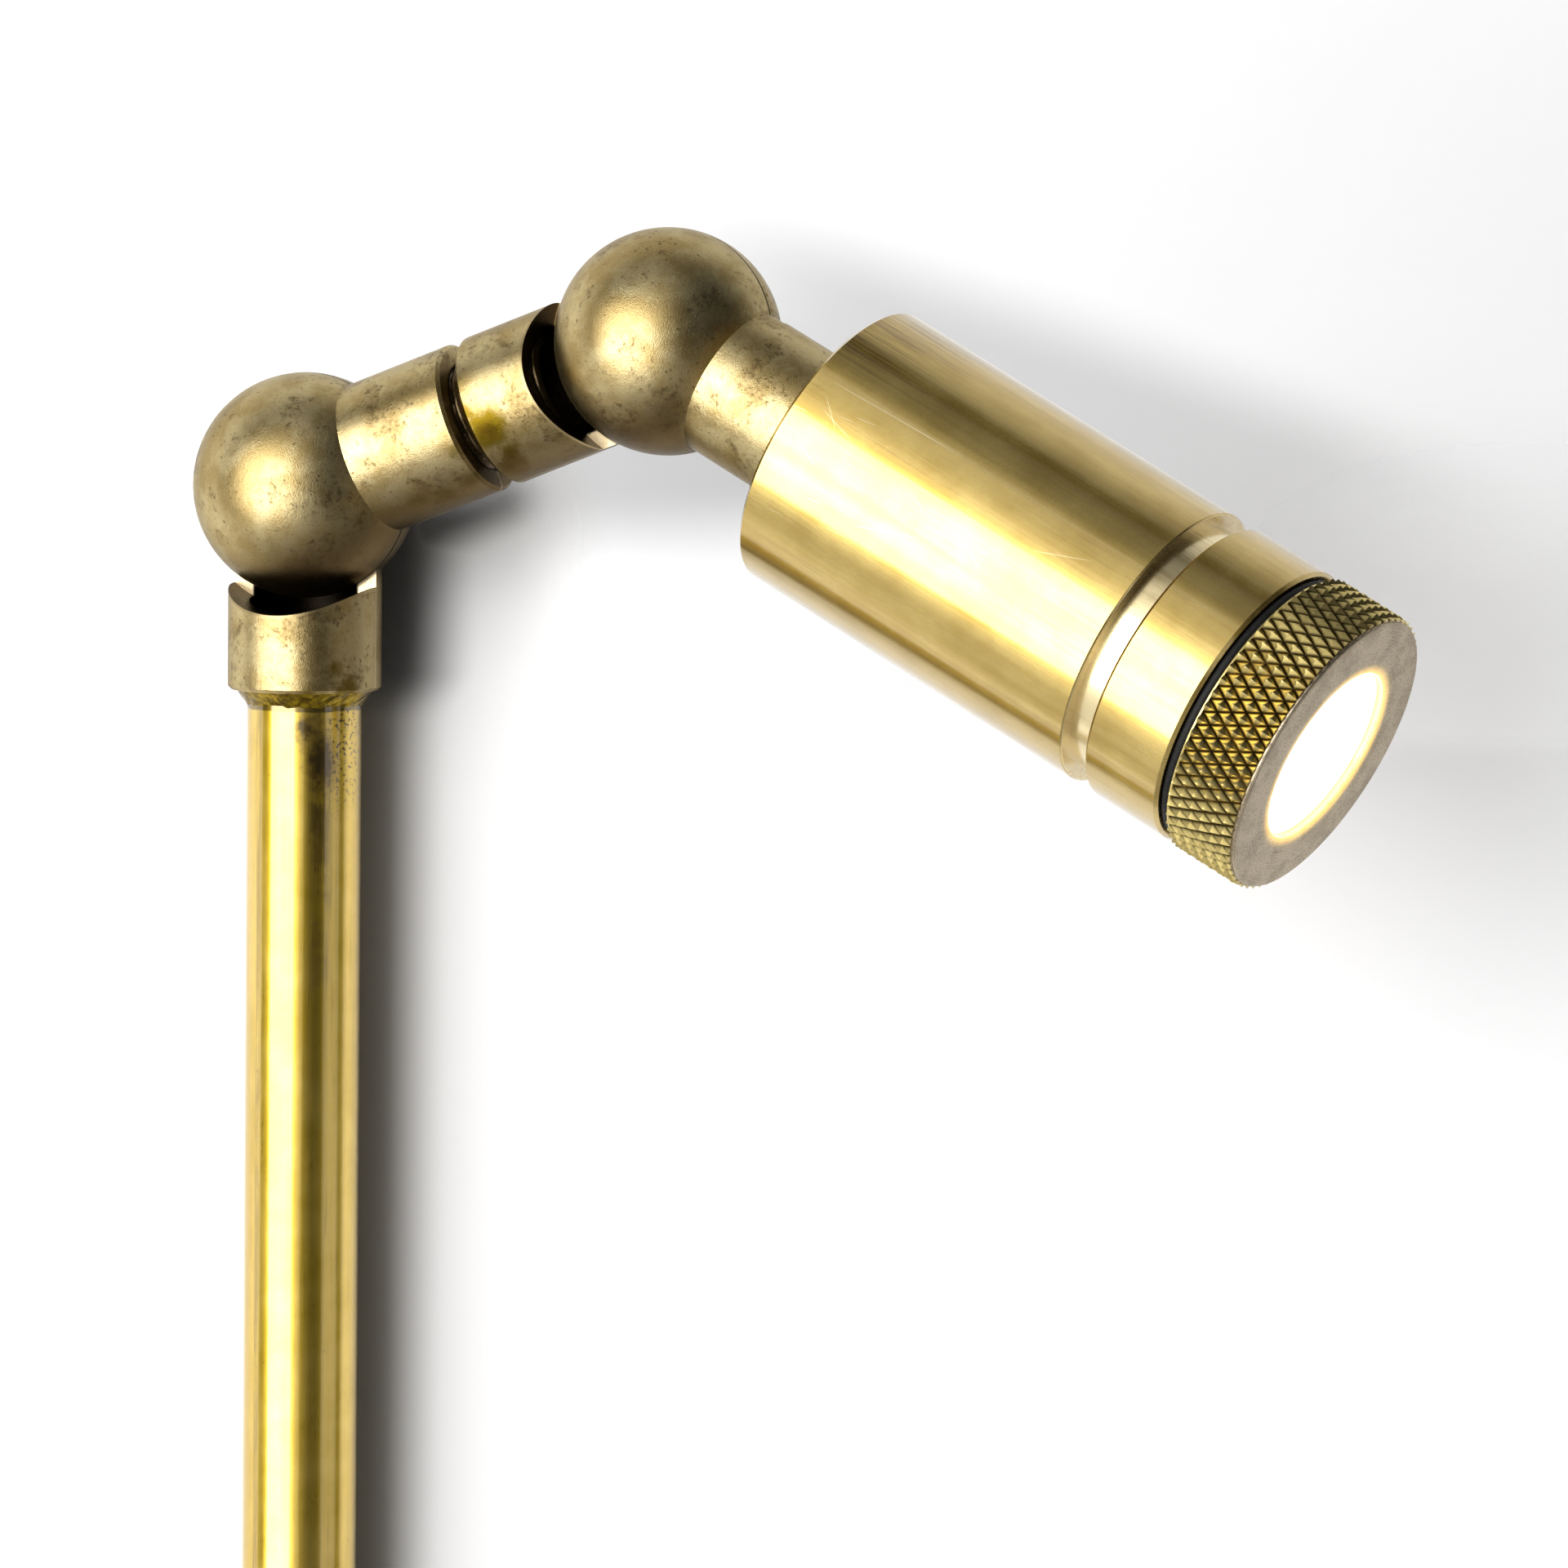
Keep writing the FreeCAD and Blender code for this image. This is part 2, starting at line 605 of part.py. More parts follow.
coil = primitive("Torus", "coil", ("-coil_offset", 0, f"{BOARD_TOP} + coil_wire_radius"),
                 Radius1="coil_radius - coil_wire_radius / 2", Radius2="coil_wire_radius")
capacitor = rod("capacitor", "capacitor_radius", BOARD_TOP, "capacitor_height",
                beside=("capacitor_radius + coil_wire_radius / 2 + capacitor_gap", "capacitor_radius"))
chip = block("chip", ("capacitor_radius - chip_inset", "-chip_width - chip_gap", BOARD_TOP),
             ("chip_length", "chip_width", "chip_height"))
parts_on_board = doc.addObject("Part::Compound", "parts_on_board")
parts_on_board.Links = [coil, capacitor, chip]
finished(parts_on_board, "driver_components", head_back)

# heat sink, LED board and its screws
SINK_END = "(sink_start + sink_length)"
LED_BOARD_TOP = "(sink_start + sink_length + led_board_thickness)"
LEAD_HOLE = "(lead_radius + lead_clearance)"


def pair(name, radius, start, length, offset, along_x=True):
    """Two round bars either side of the axis."""
    spots = [(f"{sign} * {offset}", 0) if along_x else (0, f"{sign} * {offset}") for sign in (1, -1)]
    return [rod(f"{name}_{i}", radius, start, length, beside=spot) for i, spot in enumerate(spots)]


slug = rod("slug", LINER, "sink_start", "sink_length")
sink_holes = pair("sink_lead_hole", LEAD_HOLE, "sink_start - overrun", "sink_length + 2 * overrun", "lead_offset")
screw_holes = pair("sink_screw_hole", "led_screw_radius + thread_clearance",
                   f"{SINK_END} - led_screw_length", "led_screw_length + overrun", "led_screw_offset", False)
finished(cut("sink", slug, *sink_holes, *screw_holes), "heat_sink", head_back)

led_disc = rod("led_disc", f"{LINER} - holder_wall - inner_clearance", SINK_END, "led_board_thickness")
board_holes = pair("board_lead_hole", LEAD_HOLE, f"{SINK_END} - overrun", "led_board_thickness + 2 * overrun", "lead_offset")
board_screw_holes = pair("board_screw_hole", "led_screw_radius + inner_clearance", f"{SINK_END} - overrun",
                         "led_board_thickness + 2 * overrun", "led_screw_offset", False)
finished(cut("led_plate", led_disc, *board_holes, *board_screw_holes), "led_board", head_back)

leads = doc.addObject("Part::Compound", "leads")
leads.Links = pair("lead", "lead_radius", BOARD_TOP, f"{LED_BOARD_TOP} - {BOARD_TOP}", "lead_offset")
finished(leads, "led_leads", head_back)

led_screws = doc.addObject("Part::Compound", "led_screws")
shanks = pair("shank", "led_screw_radius", f"{LED_BOARD_TOP} - led_screw_length",
              "led_screw_length + led_screw_joint", "led_screw_offset", False)
caps = pair("cap", "led_screw_head_radius", LED_BOARD_TOP, "led_screw_head_height",
            "led_screw_offset", False)
led_screws.Links = [fuse(f"led_screw_{i}", *both) for i, both in enumerate(zip(shanks, caps))]
finished(led_screws, "led_board_screws", head_back)

half_side = "emitter_side / 2"
emitter_base = block("emitter_base", (f"-{half_side}", f"-{half_side}", LED_BOARD_TOP),
                     ("emitter_side", "emitter_side", "emitter_height"))
dome_ball = primitive("Sphere", "dome_ball", (0, 0, f"{LED_BOARD_TOP} + emitter_height"),
                      Radius="dome_radius")
dome_space = block("dome_space", (f"-{half_side}", f"-{half_side}", f"{LED_BOARD_TOP} + emitter_height / 2"),
                   ("emitter_side", "emitter_side", "2 * dome_radius"))
finished(fuse("emitter", emitter_base, common("dome", dome_ball, dome_space)), "led_emitter", head_back)

# optic and its holder
OPTIC_FOOT = f"({LED_BOARD_TOP} + emitter_height + optic_lift)"
OPTIC_FACE = f"({SPIGOT_END} - optic_setback)"
HOLDER_BORE = f"({LINER} - holder_wall)"
OPTIC_RADIUS = f"({HOLDER_BORE} - inner_clearance)"
holder = turned("holder", [
    (HOLDER_BORE, SINK_END),
    (LINER, SINK_END),
    (LINER, f"{SPIGOT_END} - holder_setback"),
    (HOLDER_BORE, f"{SPIGOT_END} - holder_setback"),
])
finished(holder, "optic_holder", head_back)

optic = turned("optic", [
    (0, f"{OPTIC_FOOT} + optic_pocket_depth + optic_pocket_tip"),
    ("optic_pocket_radius / 2", f"{OPTIC_FOOT} + optic_pocket_depth + optic_pocket_tip / 2"),
    ("optic_pocket_radius", f"{OPTIC_FOOT} + optic_pocket_depth"),
    ("optic_pocket_radius + optic_pocket_flare", OPTIC_FOOT),
    ("optic_throat_radius", OPTIC_FOOT),
    (f"optic_throat_radius + optic_low_reach * ({OPTIC_RADIUS} - optic_throat_radius)",
     f"{OPTIC_FOOT} + optic_low_height * ({OPTIC_FACE} - optic_rim - {OPTIC_FOOT})"),
    (f"optic_throat_radius + optic_high_reach * ({OPTIC_RADIUS} - optic_throat_radius)",
     f"{OPTIC_FOOT} + optic_high_height * ({OPTIC_FACE} - optic_rim - {OPTIC_FOOT})"),
    (f"{OPTIC_RADIUS} - optic_undercut", f"{OPTIC_FACE} - optic_rim"),
    (OPTIC_RADIUS, f"{OPTIC_FACE} - optic_rim"),
    (OPTIC_RADIUS, OPTIC_FACE),
    (0, OPTIC_FACE),
])
finished(optic, "optic_lens", head_back)

# ---------------------------------------------------------------- seals, glass and bezel
RING_MIDDLE = "(spigot_radius + ring_section / 2 + thread_clearance)"
ring = primitive("Torus", "ring", (0, 0, 0), Radius1=RING_MIDDLE,
                 Radius2="ring_section / 2 - thread_clearance")
finished(ring, "bezel_o_ring", head_back * shift(z="tube_length + ring_section / 2"))

BEZEL_START = "(tube_length + ring_section)"
BEZEL_END = "(tube_length + ring_section + bezel_length)"
GLASS_FACE = f"({BEZEL_END} - lip_thickness)"
GLASS_BACK = f"({BEZEL_END} - lip_thickness - glass_thickness)"
BEZEL_BORE = "(spigot_radius + running_clearance)"
bezel = turned("bezel", [
    (BEZEL_BORE, BEZEL_START),
    ("bezel_radius - bezel_chamfer", BEZEL_START),
    ("bezel_radius", f"{BEZEL_START} + bezel_chamfer"),
    ("bezel_radius", f"{BEZEL_END} - bezel_chamfer"),
    ("bezel_radius - bezel_chamfer", BEZEL_END),
    ("aperture_radius + aperture_chamfer", BEZEL_END),
    ("aperture_radius", f"{BEZEL_END} - aperture_chamfer"),
    ("aperture_radius", GLASS_FACE),
    (BEZEL_BORE, GLASS_FACE),
])
finished(bezel, "bezel_ring", head_back)

GLASS_RADIUS = "(spigot_radius - glass_clearance)"
glass = turned("glass", [
    (0, GLASS_BACK),
    (GLASS_RADIUS, GLASS_BACK),
    (GLASS_RADIUS, f"{GLASS_FACE} - face_clearance"),
    (0, f"{GLASS_FACE} - face_clearance"),
])
finished(glass, "front_glass", head_back)

gasket = sleeve("gasket", "spigot_radius - gasket_width", GLASS_RADIUS, f"{SPIGOT_END} + face_clearance",
                GLASS_BACK)
finished(gasket, "glass_gasket", head_back)

# ---------------------------------------------------------------- checks and export
doc.recompute()
for obj in doc.Objects:
    faults = [state for state in obj.State if state in ("Invalid", "Error")]
    if faults:
        raise RuntimeError(f"{obj.Name} has failed: {obj.State}")
for piece in pieces:
    if piece.Shape.isNull() or not piece.Shape.isValid() or piece.Shape.Volume <= 0:
        raise RuntimeError(f"{piece.Label} has no valid solid")

os.makedirs("parts", exist_ok=True)
for piece in pieces:
    piece.Shape.exportStep(f"parts/{piece.Label}.step")
    print(f"{piece.Label:22s} {len(piece.Shape.Solids)} solid(s) {piece.Shape.Volume:10.2f} mm3")
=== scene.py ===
# %% [markdown]
# # A brass spike spotlight
# The lamp head hangs on two ball knuckles at the top of a slim brass pole.
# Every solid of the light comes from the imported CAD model, which is loaded first and never moved.
# This lesson dresses it: first the camera and the light, then one finish after another,
# and last the pieces whose detail is too fine for the solids: the knurl, the thread and the brazed bead.

# %% Load the frame
import math

import bpy
import numpy as np
from mathutils import Matrix, Vector


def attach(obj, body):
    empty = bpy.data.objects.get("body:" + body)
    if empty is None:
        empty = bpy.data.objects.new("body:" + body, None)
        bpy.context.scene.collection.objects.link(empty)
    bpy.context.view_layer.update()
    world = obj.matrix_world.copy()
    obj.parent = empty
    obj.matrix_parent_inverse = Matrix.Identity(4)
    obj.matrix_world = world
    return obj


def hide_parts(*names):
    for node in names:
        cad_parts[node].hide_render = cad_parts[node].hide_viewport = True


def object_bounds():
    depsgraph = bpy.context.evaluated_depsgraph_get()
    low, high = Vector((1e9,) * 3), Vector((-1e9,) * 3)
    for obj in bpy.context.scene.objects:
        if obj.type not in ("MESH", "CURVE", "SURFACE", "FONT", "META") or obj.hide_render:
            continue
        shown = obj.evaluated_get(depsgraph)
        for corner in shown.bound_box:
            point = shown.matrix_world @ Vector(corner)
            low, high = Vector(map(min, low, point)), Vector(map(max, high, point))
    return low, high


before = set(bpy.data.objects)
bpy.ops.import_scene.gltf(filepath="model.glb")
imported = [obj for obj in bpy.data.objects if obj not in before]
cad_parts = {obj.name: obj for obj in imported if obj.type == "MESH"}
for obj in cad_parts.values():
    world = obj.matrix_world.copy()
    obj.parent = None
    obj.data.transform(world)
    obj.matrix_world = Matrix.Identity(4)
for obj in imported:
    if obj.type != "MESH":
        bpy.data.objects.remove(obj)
cad_box = [list(corner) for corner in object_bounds()]

# %% [markdown]
# ## Where things are
# The light is a chain of four straight parts, so a few points and directions place everything.
# `LOWER` and `UPPER` are the centres of the two balls, `ARM` and `HEAD` are unit vectors along
# the arm and the lamp head, and `BACK` is the middle of the head's back face. `HINGE` is the axis
# that the head tilts about. All lengths are in millimetres.

# %% The axes of the chain
MM = 0.001
LOWER = Vector((0, 0, 260.0))
UPPER = Vector((34.98370, 0, 273.78045))
ARM = (UPPER - LOWER).normalized()
HEAD = Vector((0.882031, -0.084635, -0.463527)).normalized()
BACK = Vector((51.38948, -1.57421, 265.15884))
POLE_RADIUS, HEAD_RADIUS = 5.15, 13.4
UP = Vector((0, 0, 1))
HINGE = Vector((0.040854, 0.993768, -0.103713)).normalized()
print("arm", [round(v, 3) for v in ARM], "head", [round(v, 3) for v in HEAD])

# %% [markdown]
# ## The camera
# The photograph was taken from far off with a long lens, so the sides of the head stay parallel.
# A camera is a place and three directions. The place is found backwards: the lower ball shows at a
# known pixel, at a known distance along the view, so the camera stands that far back from it.

# %% Camera
FOCAL_PIXELS, PICTURE, SENSOR = 15157.0, 1920.0, 36.0
DISTANCE = 1108.0
BALL_PIXEL = (374.49, 593.75)
RIGHTWARD = Vector((0.92713, 0.37461, 0.00962))
UPWARD = Vector((-0.03974, 0.07275, 0.99656))
BACKWARD = RIGHTWARD.cross(UPWARD).normalized()

aside = (BALL_PIXEL[0] - PICTURE / 2) / FOCAL_PIXELS * DISTANCE
below = (BALL_PIXEL[1] - PICTURE / 2) / FOCAL_PIXELS * DISTANCE
eye = LOWER - RIGHTWARD * aside + UPWARD * below + BACKWARD * DISTANCE

camera = bpy.data.objects.new("camera", bpy.data.cameras.new("camera"))
camera.data.sensor_width = SENSOR
camera.data.lens = FOCAL_PIXELS / PICTURE * SENSOR
camera.data.clip_start, camera.data.clip_end = 0.05, 50.0
axes = Matrix((RIGHTWARD, UPWARD, BACKWARD)).transposed()
camera.matrix_world = Matrix.Translation(eye * MM) @ axes.to_4x4()
bpy.context.scene.collection.objects.link(camera)
bpy.context.scene.camera = camera
print("lens", round(camera.data.lens, 1), "mm, camera at", [round(v) for v in eye])

# %% [markdown]
# ## Shader sums
# A finish is a small calculation: noise here, a threshold there, a mix of two colours.
# `Wire` wraps one socket, so `1 - spots * 0.5` adds the Math nodes by itself.
# `Finish` is one material, and its `node` method adds any other node.

# %% Wires and finishes
class Wire:
    """A value on its way through a finish. A sum written with it adds the Math node that does the sum."""

    def __init__(self, finish, socket):
        self.finish, self.socket = finish, socket

    def sum(self, operation, first, second):
        return self.finish.node("Math", {"operation": operation}, {0: first, 1: second})

    def __add__(self, other): return self.sum("ADD", self, other)
    def __radd__(self, other): return self.sum("ADD", other, self)
    def __sub__(self, other): return self.sum("SUBTRACT", self, other)
    def __rsub__(self, other): return self.sum("SUBTRACT", other, self)
    def __mul__(self, other): return self.sum("MULTIPLY", self, other)
    def __rmul__(self, other): return self.sum("MULTIPLY", other, self)
    def __pow__(self, other): return self.sum("POWER", self, other)


class Finish:
    """One material. Keywords set constants on the shader's own sockets."""

    def __init__(self, name, **constants):
        self.material = bpy.data.materials.new(name)
        self.material.use_nodes = True
        self.tree = self.material.node_tree
        self.shader = self.tree.nodes["Principled BSDF"]
        for key, number in constants.items():
            socket = key.replace("_", " ").title().replace("Ior", "IOR")
            self.shader.inputs[socket].default_value = number

    def feed(self, socket, given):
        if isinstance(given, Wire):
            self.tree.links.new(given.socket, socket)
        else:
            socket.default_value = given

    def node(self, kind, settings=None, inputs=None, output=0):
        """Adds a node: its settings first, then a number, a colour or a wire for each socket named."""
        node = self.tree.nodes.new("ShaderNode" + kind)
        for key, choice in (settings or {}).items():
            setattr(node, key, choice)
        for key, given in (inputs or {}).items():
            self.feed(node.inputs[key], given)
        return Wire(self, node.outputs[output])

    def surface(self, **wires):
        """Joins wires to the shader, such as Base_Color=wire."""
        for socket, wire in wires.items():
            self.feed(self.shader.inputs[socket.replace("_", " ")], wire)
        return self.material


print("shader helpers ready")

# %% [markdown]
# A few calculations come up in every finish, so each has a name.
# `along` lays millimetre coordinates on an axis of the light, so streaks can follow a tube.
# `grain` is noise, `step` and `band` turn a value into a soft-edged mask, `blend` mixes two colours,
# and `laid` puts one colour over another where a mask says so.

# %% Coordinates, grain, masks and blends
def along(finish, origin, axis, stretch=1.0, side=None):
    """Millimetre coordinates with z on the given axis, shortened by stretch along it."""
    if side is None:
        turn = axis.to_track_quat("Z", "Y").to_euler()
    else:
        across = side.cross(axis).normalized()
        turn = Matrix((across, axis.cross(across), axis)).transposed().to_euler()
    place = finish.node("TexCoord", output=3)
    return finish.node("Mapping", {"vector_type": "TEXTURE"},
                       {"Vector": place, "Location": tuple(origin * MM), "Rotation": tuple(turn),
                        "Scale": (MM, MM, MM * stretch)})


def grain(finish, where, size, detail, roughness):
    """Noise from 0 to 1 whose lumps are about this many millimetres wide. More detail adds finer
    lumps, and roughness is how strong they are."""
    return finish.node("TexNoise", None, {"Vector": where, "Scale": 1.0 / size, "Detail": detail,
                                          "Roughness": roughness})


def step(finish, value, low, high):
    """0 below low, 1 above high, and a smooth rise between; low may be the larger."""
    return finish.node("MapRange", {"interpolation_type": "SMOOTHSTEP"},
                       {"Value": value, "From Min": low, "From Max": high})


def blend(finish, first, second, share):
    """A colour between two others."""
    first, second = [c if isinstance(c, Wire) else (*c, 1.0) for c in (first, second)]
    return finish.node("Mix", {"data_type": "RGBA"}, {0: share, 6: first, 7: second}, output=2)


def band(finish, value, low, high, soft):
    """1 between low and high and 0 outside them, with edges this soft."""
    return step(finish, value, low, low + soft) * step(finish, value, high, high - soft)


def laid(finish, under, over, value, low, high, strength=1.0):
    """One colour over another where a value passes from low to high."""
    return blend(finish, under, over, step(finish, value, low, high) * strength)


def parts(finish, where):
    """The x, y and z of a set of coordinates, as three wires."""
    split = finish.node("SeparateXYZ", None, {0: where}).socket.node
    return [Wire(finish, split.outputs[i]) for i in range(3)]


def bump(finish, height, depth):
    """A normal tilted by a height from 0 to 1 that stands this many millimetres tall."""
    return finish.node("Bump", None, {"Strength": 1.0, "Distance": depth * MM, "Height": height})


def length(first, second):
    return (first * first + second * second) ** 0.5


def magnitude(value):
    return value.finish.node("Math", {"operation": "ABSOLUTE"}, {0: value})


def most(first, second):
    return first.sum("MAXIMUM", first, second)


def least(first, second):
    return first.sum("MINIMUM", first, second)


def wear(nodes, material):
    """Puts a finish on CAD nodes, through their material slots."""
    for name in nodes:
        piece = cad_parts[name]
        piece.data.materials.clear()
        piece.data.materials.append(material)


print("pattern helpers ready")

# %% [markdown]
# ## Tumbled brass
# The knuckles were tumbled with stones until they went satin, then left to age.
# What is left is a brown-gold skin with darker pin spots, lighter rubbed patches and fine tooth.
# The undersides and the right-hand sides are painted darker, as painted shade on the side away from the
# light. The wire-way and the
# milled scoop never saw a stone: they are dark, and the narrow cut faces are still bright.

# %% Tumbled brass, and the knuckles
# the dark tone serves the aged specks and pits, and also the painted shade on the knuckles' shaded sides
AGED_LIGHT, AGED_MID, DARK_AGE_AND_SHADE = (0.50, 0.402, 0.203), (0.345, 0.251, 0.100), (0.085, 0.052, 0.020)
SCORCHED, SCOOPED, RAW_CUT = (0.016, 0.012, 0.008), (0.055, 0.040, 0.022), (0.55, 0.44, 0.27)
STAIN, RUST, RIM = (0.145, 0.095, 0.006), (0.06, 0.032, 0.003), (0.36, 0.27, 0.13)
DULL_EDGE = (0.66, 0.65, 0.63, 1.0)
ACROSS = Vector((0, 1, 0))
# the way the painted shade falls on the knuckles: down and to the right
PAINTED_SHADE_WAY = Vector((0.42, 0.22, -1.0)).normalized()
WIRE_WAY, SCOOP_EDGE, SCOOP_FLOOR = 5.25, 11.62, 11.36


def local(direction, axis, side):
    """A direction of the room in the coordinates that along() lays on an axis."""
    across = side.cross(axis).normalized()
    return Vector((direction.dot(across), direction.dot(axis.cross(across)), direction.dot(axis)))


def skin(finish, where, cloud, speck, tooth):
    """The aged skin: clouds of two browns, bruises, tooth, specks and pits."""
    pits = grain(finish, where, 0.9, 1.0, 0.4)
    bruise = grain(finish, where, 6.0, 3.0, 0.75)
    colour = laid(finish, AGED_MID, AGED_LIGHT, cloud, 0.38, 0.62)
    colour = laid(finish, colour, DARK_AGE_AND_SHADE, bruise * 0.7 + speck * 0.3, 0.50, 0.66, 0.55)
    colour = laid(finish, colour, AGED_LIGHT, tooth, 0.56, 0.72, 0.4)
    colour = laid(finish, colour, DARK_AGE_AND_SHADE, tooth, 0.44, 0.28, 0.35)
    colour = laid(finish, colour, DARK_AGE_AND_SHADE, speck + bruise * 0.5, 0.84, 0.98, 0.6)
    return laid(finish, colour, DARK_AGE_AND_SHADE, pits, 0.74, 0.80, 0.6)


def tumbled_brass(name, origin, axis, side, sign, stains):
    """Sign is the side of the hinge plane that the half ball is on; the scoop is across from it.
    Stains are (x, y, z, reach, strength) in the knuckle's own millimetres."""
    finish = Finish(name, metallic=1.0, specular_tint=DULL_EDGE)
    where = along(finish, origin, axis, 1.0, side)
    x, y, z = parts(finish, where)
    cloud = grain(finish, where, 4.5, 5.0, 0.62)
    speck = grain(finish, where, 0.55, 3.0, 0.7)
    tooth = grain(finish, where, 0.20, 2.0, 0.6)
    colour = skin(finish, where, cloud, speck, tooth)
    spread = grain(finish, where, 1.4, 3.0, 0.6)
    for at_x, at_y, at_z, reach, strength in stains:
        gap = length(length(x - at_x, y - at_y), z - at_z) + spread * 2.4
        colour = laid(finish, colour, STAIN, gap, reach + 1.6, reach * 0.6 + 0.8, strength)
        colour = laid(finish, colour, RUST, gap, reach * 0.7 + 0.6, reach * 0.3 + 0.6, strength * 0.7)
    # painted shade: the side away from the light is painted darker; this counts along the axis for the ball
    # only, so that a collar isn't dark all over
    painted_shade_local = local(PAINTED_SHADE_WAY, axis, side)
    depth = x * painted_shade_local.x + y * painted_shade_local.y + z * step(finish, z, 9.0, 6.0) * painted_shade_local.z
    colour = laid(finish, colour, DARK_AGE_AND_SHADE, depth + cloud * 2.0, 1.0, 7.5, 0.9)
    # the cut faces, the rim of the scoop, the seam of the two half balls, the scoop and the wire-way
    solid_side = y * sign
    reach, ball = length(x, z), length(length(x, z), y)
    milled = step(finish, solid_side, 0.0, -0.1)
    cut_face = band(finish, solid_side, -0.02, 0.14, 0.04) * step(finish, z, 7.0, 7.4)
    seam = step(finish, solid_side, 0.22, 0.08) * band(finish, ball, 9.3, 10.5, 0.3)
    colour = blend(finish, colour, RAW_CUT, cut_face)
    colour = laid(finish, colour, RIM, reach, SCOOP_EDGE, SCOOP_EDGE - 0.14, milled)
    colour = blend(finish, colour, SCORCHED, seam * 0.8)
    colour = laid(finish, colour, SCOOPED, reach, SCOOP_FLOOR, SCOOP_FLOOR - 0.05, milled)
    inside = step(finish, length(x, y), WIRE_WAY, WIRE_WAY - 0.2) * step(finish, z, 3.0, 3.2)
    colour = blend(finish, colour, SCORCHED, inside)
    rough = 0.26 + cloud * 0.10 + step(finish, speck, 0.56, 0.76) * 0.14
    relief = grain(finish, where, 0.085, 1.0, 0.5) + tooth * 0.5 + speck * 0.4
    return finish.surface(Base_Color=colour, Roughness=rough, Normal=bump(finish, relief, 0.022))


KNUCKLES = [
    ("pole_knuckle", "tumbled_brass_pole", LOWER, -UP, ACROSS, 1.0,
     [(-5.0, -4.8, 16.2, 1.0, 0.9), (-5.8, -3.7, 18.0, 1.2, 0.9), (-3.0, -6.2, 18.2, 0.7, 0.6)]),
    ("arm_lower_knuckle", "tumbled_brass_arm", LOWER, ARM, ACROSS, -1.0,
     [(5.6, -4.0, 17.2, 1.2, 0.8), (2.8, -6.3, 17.6, 0.9, 0.6), (6.0, -3.4, 14.2, 1.3, 0.7),
      (5.4, -4.2, 11.8, 0.9, 0.5)]),
    ("arm_upper_knuckle", "tumbled_brass_elbow", UPPER, -ARM, HINGE, 1.0,
     [(-2.6, -6.3, 16.4, 2.4, 1.0), (-5.0, -4.7, 15.6, 1.4, 1.0), (-6.0, -3.2, 16.4, 1.6, 0.9),
      (1.6, -6.7, 17.9, 0.9, 0.9), (-0.6, -6.9, 18.2, 1.0, 1.0)]),
    ("head_knuckle", "tumbled_brass_neck", UPPER, HEAD, HINGE, -1.0, [])]
for knuckle, *choices in KNUCKLES:
    wear([knuckle], tumbled_brass(*choices))
print("knuckles dressed in tumbled brass")

# %% [markdown]
# ## Drawn brass
# Tube is pulled through a die, which leaves long streaks and the odd scratch along it.
# The streaks are noise squeezed along the tube: 40 mm of tube is read as if it were one.
# Some marks have a place of their own, so the surface is also unrolled into a flat map:
# `arc` is the way round in millimetres and z the way along, and a scratch is a thin line on it.

# %% Drawn brass
STREAK_LENGTH, HAIR_LENGTH = 40.0, 45.0


def unrolled(finish, x, y, radius):
    """The way round a tube in millimetres, from its x axis."""
    return finish.node("Math", {"operation": "ARCTAN2"}, {0: y, 1: x}) * radius


def scratch(arc, z, begin, end, width):
    """A thin straight line on the unrolled tube, from (arc, z) to (arc, z)."""
    finish = arc.finish
    run = math.dist(begin, end)
    way = ((end[0] - begin[0]) / run, (end[1] - begin[1]) / run)
    gone = (arc - begin[0]) * way[0] + (z - begin[1]) * way[1]
    off = magnitude((arc - begin[0]) * way[1] - (z - begin[1]) * way[0])
    return step(finish, off, width, width * 0.3) * band(finish, gone, 0.0, run, run * 0.3)


def scratches(finish, arc, z, turn, size, low):
    """A field of hair scratches that all lean by the same angle on the unrolled tube."""
    c, s = math.cos(math.radians(turn)), math.sin(math.radians(turn))
    leaning = {0: arc * c + z * s, 1: (z * c - arc * s) * (1 / HAIR_LENGTH), 2: 0.0}
    flat = finish.node("CombineXYZ", None, leaning)
    return step(finish, grain(finish, flat, size, 1.0, 0.4), low, low + 0.06)


def drawn_brass(name, origin, axis, side, radius, tones, gloss, coat, coat_ior, marks):
    """Tones are light, middle and dark. Marks is a function that takes the finish, the unrolled map,
    the streaks, the clouds and the colour so far, and returns the colour."""
    light, middle, dark = tones
    finish = Finish(name, metallic=1.0, specular_tint=DULL_EDGE,
                    coat_weight=coat, coat_roughness=0.10, coat_ior=coat_ior)
    where = along(finish, origin, axis, 1.0, side)
    x, y, z = parts(finish, where)
    arc = unrolled(finish, x, y, radius)
    streaky = along(finish, origin, axis, STREAK_LENGTH, side)
    bands = grain(finish, streaky, 2.2, 3.0, 0.6)
    streak = grain(finish, streaky, 0.32, 4.0, 0.75)
    cloud = grain(finish, where, 5.0, 4.0, 0.6)
    speck = grain(finish, where, 0.5, 2.0, 0.6)
    colour = laid(finish, middle, light, bands * 0.55 + cloud * 0.45, 0.38, 0.62)
    colour = laid(finish, colour, dark, streak, 0.54, 0.74, 0.38)
    colour = laid(finish, colour, light, streak, 0.44, 0.28, 0.5)
    colour = laid(finish, colour, dark, speck, 0.76, 0.86, 0.6)
    colour = marks(finish, arc, z, streak, cloud, colour)
    rough = gloss + cloud * 0.06 + streak * 0.12
    relief = streak * 0.5 + bands * 0.6
    return finish.surface(Base_Color=colour, Roughness=rough, Normal=bump(finish, relief, 0.012))


print("drawn brass ready")

# %% [markdown]
# The head carries hair scratches where it was handled, and one long bright one from its back edge.
# Its turned groove was cut after the tube was drawn, so the groove's floor is bright and clean.
# The pole was heated for the brazing: below the joint are a burnt patch, its run and a few flakes.

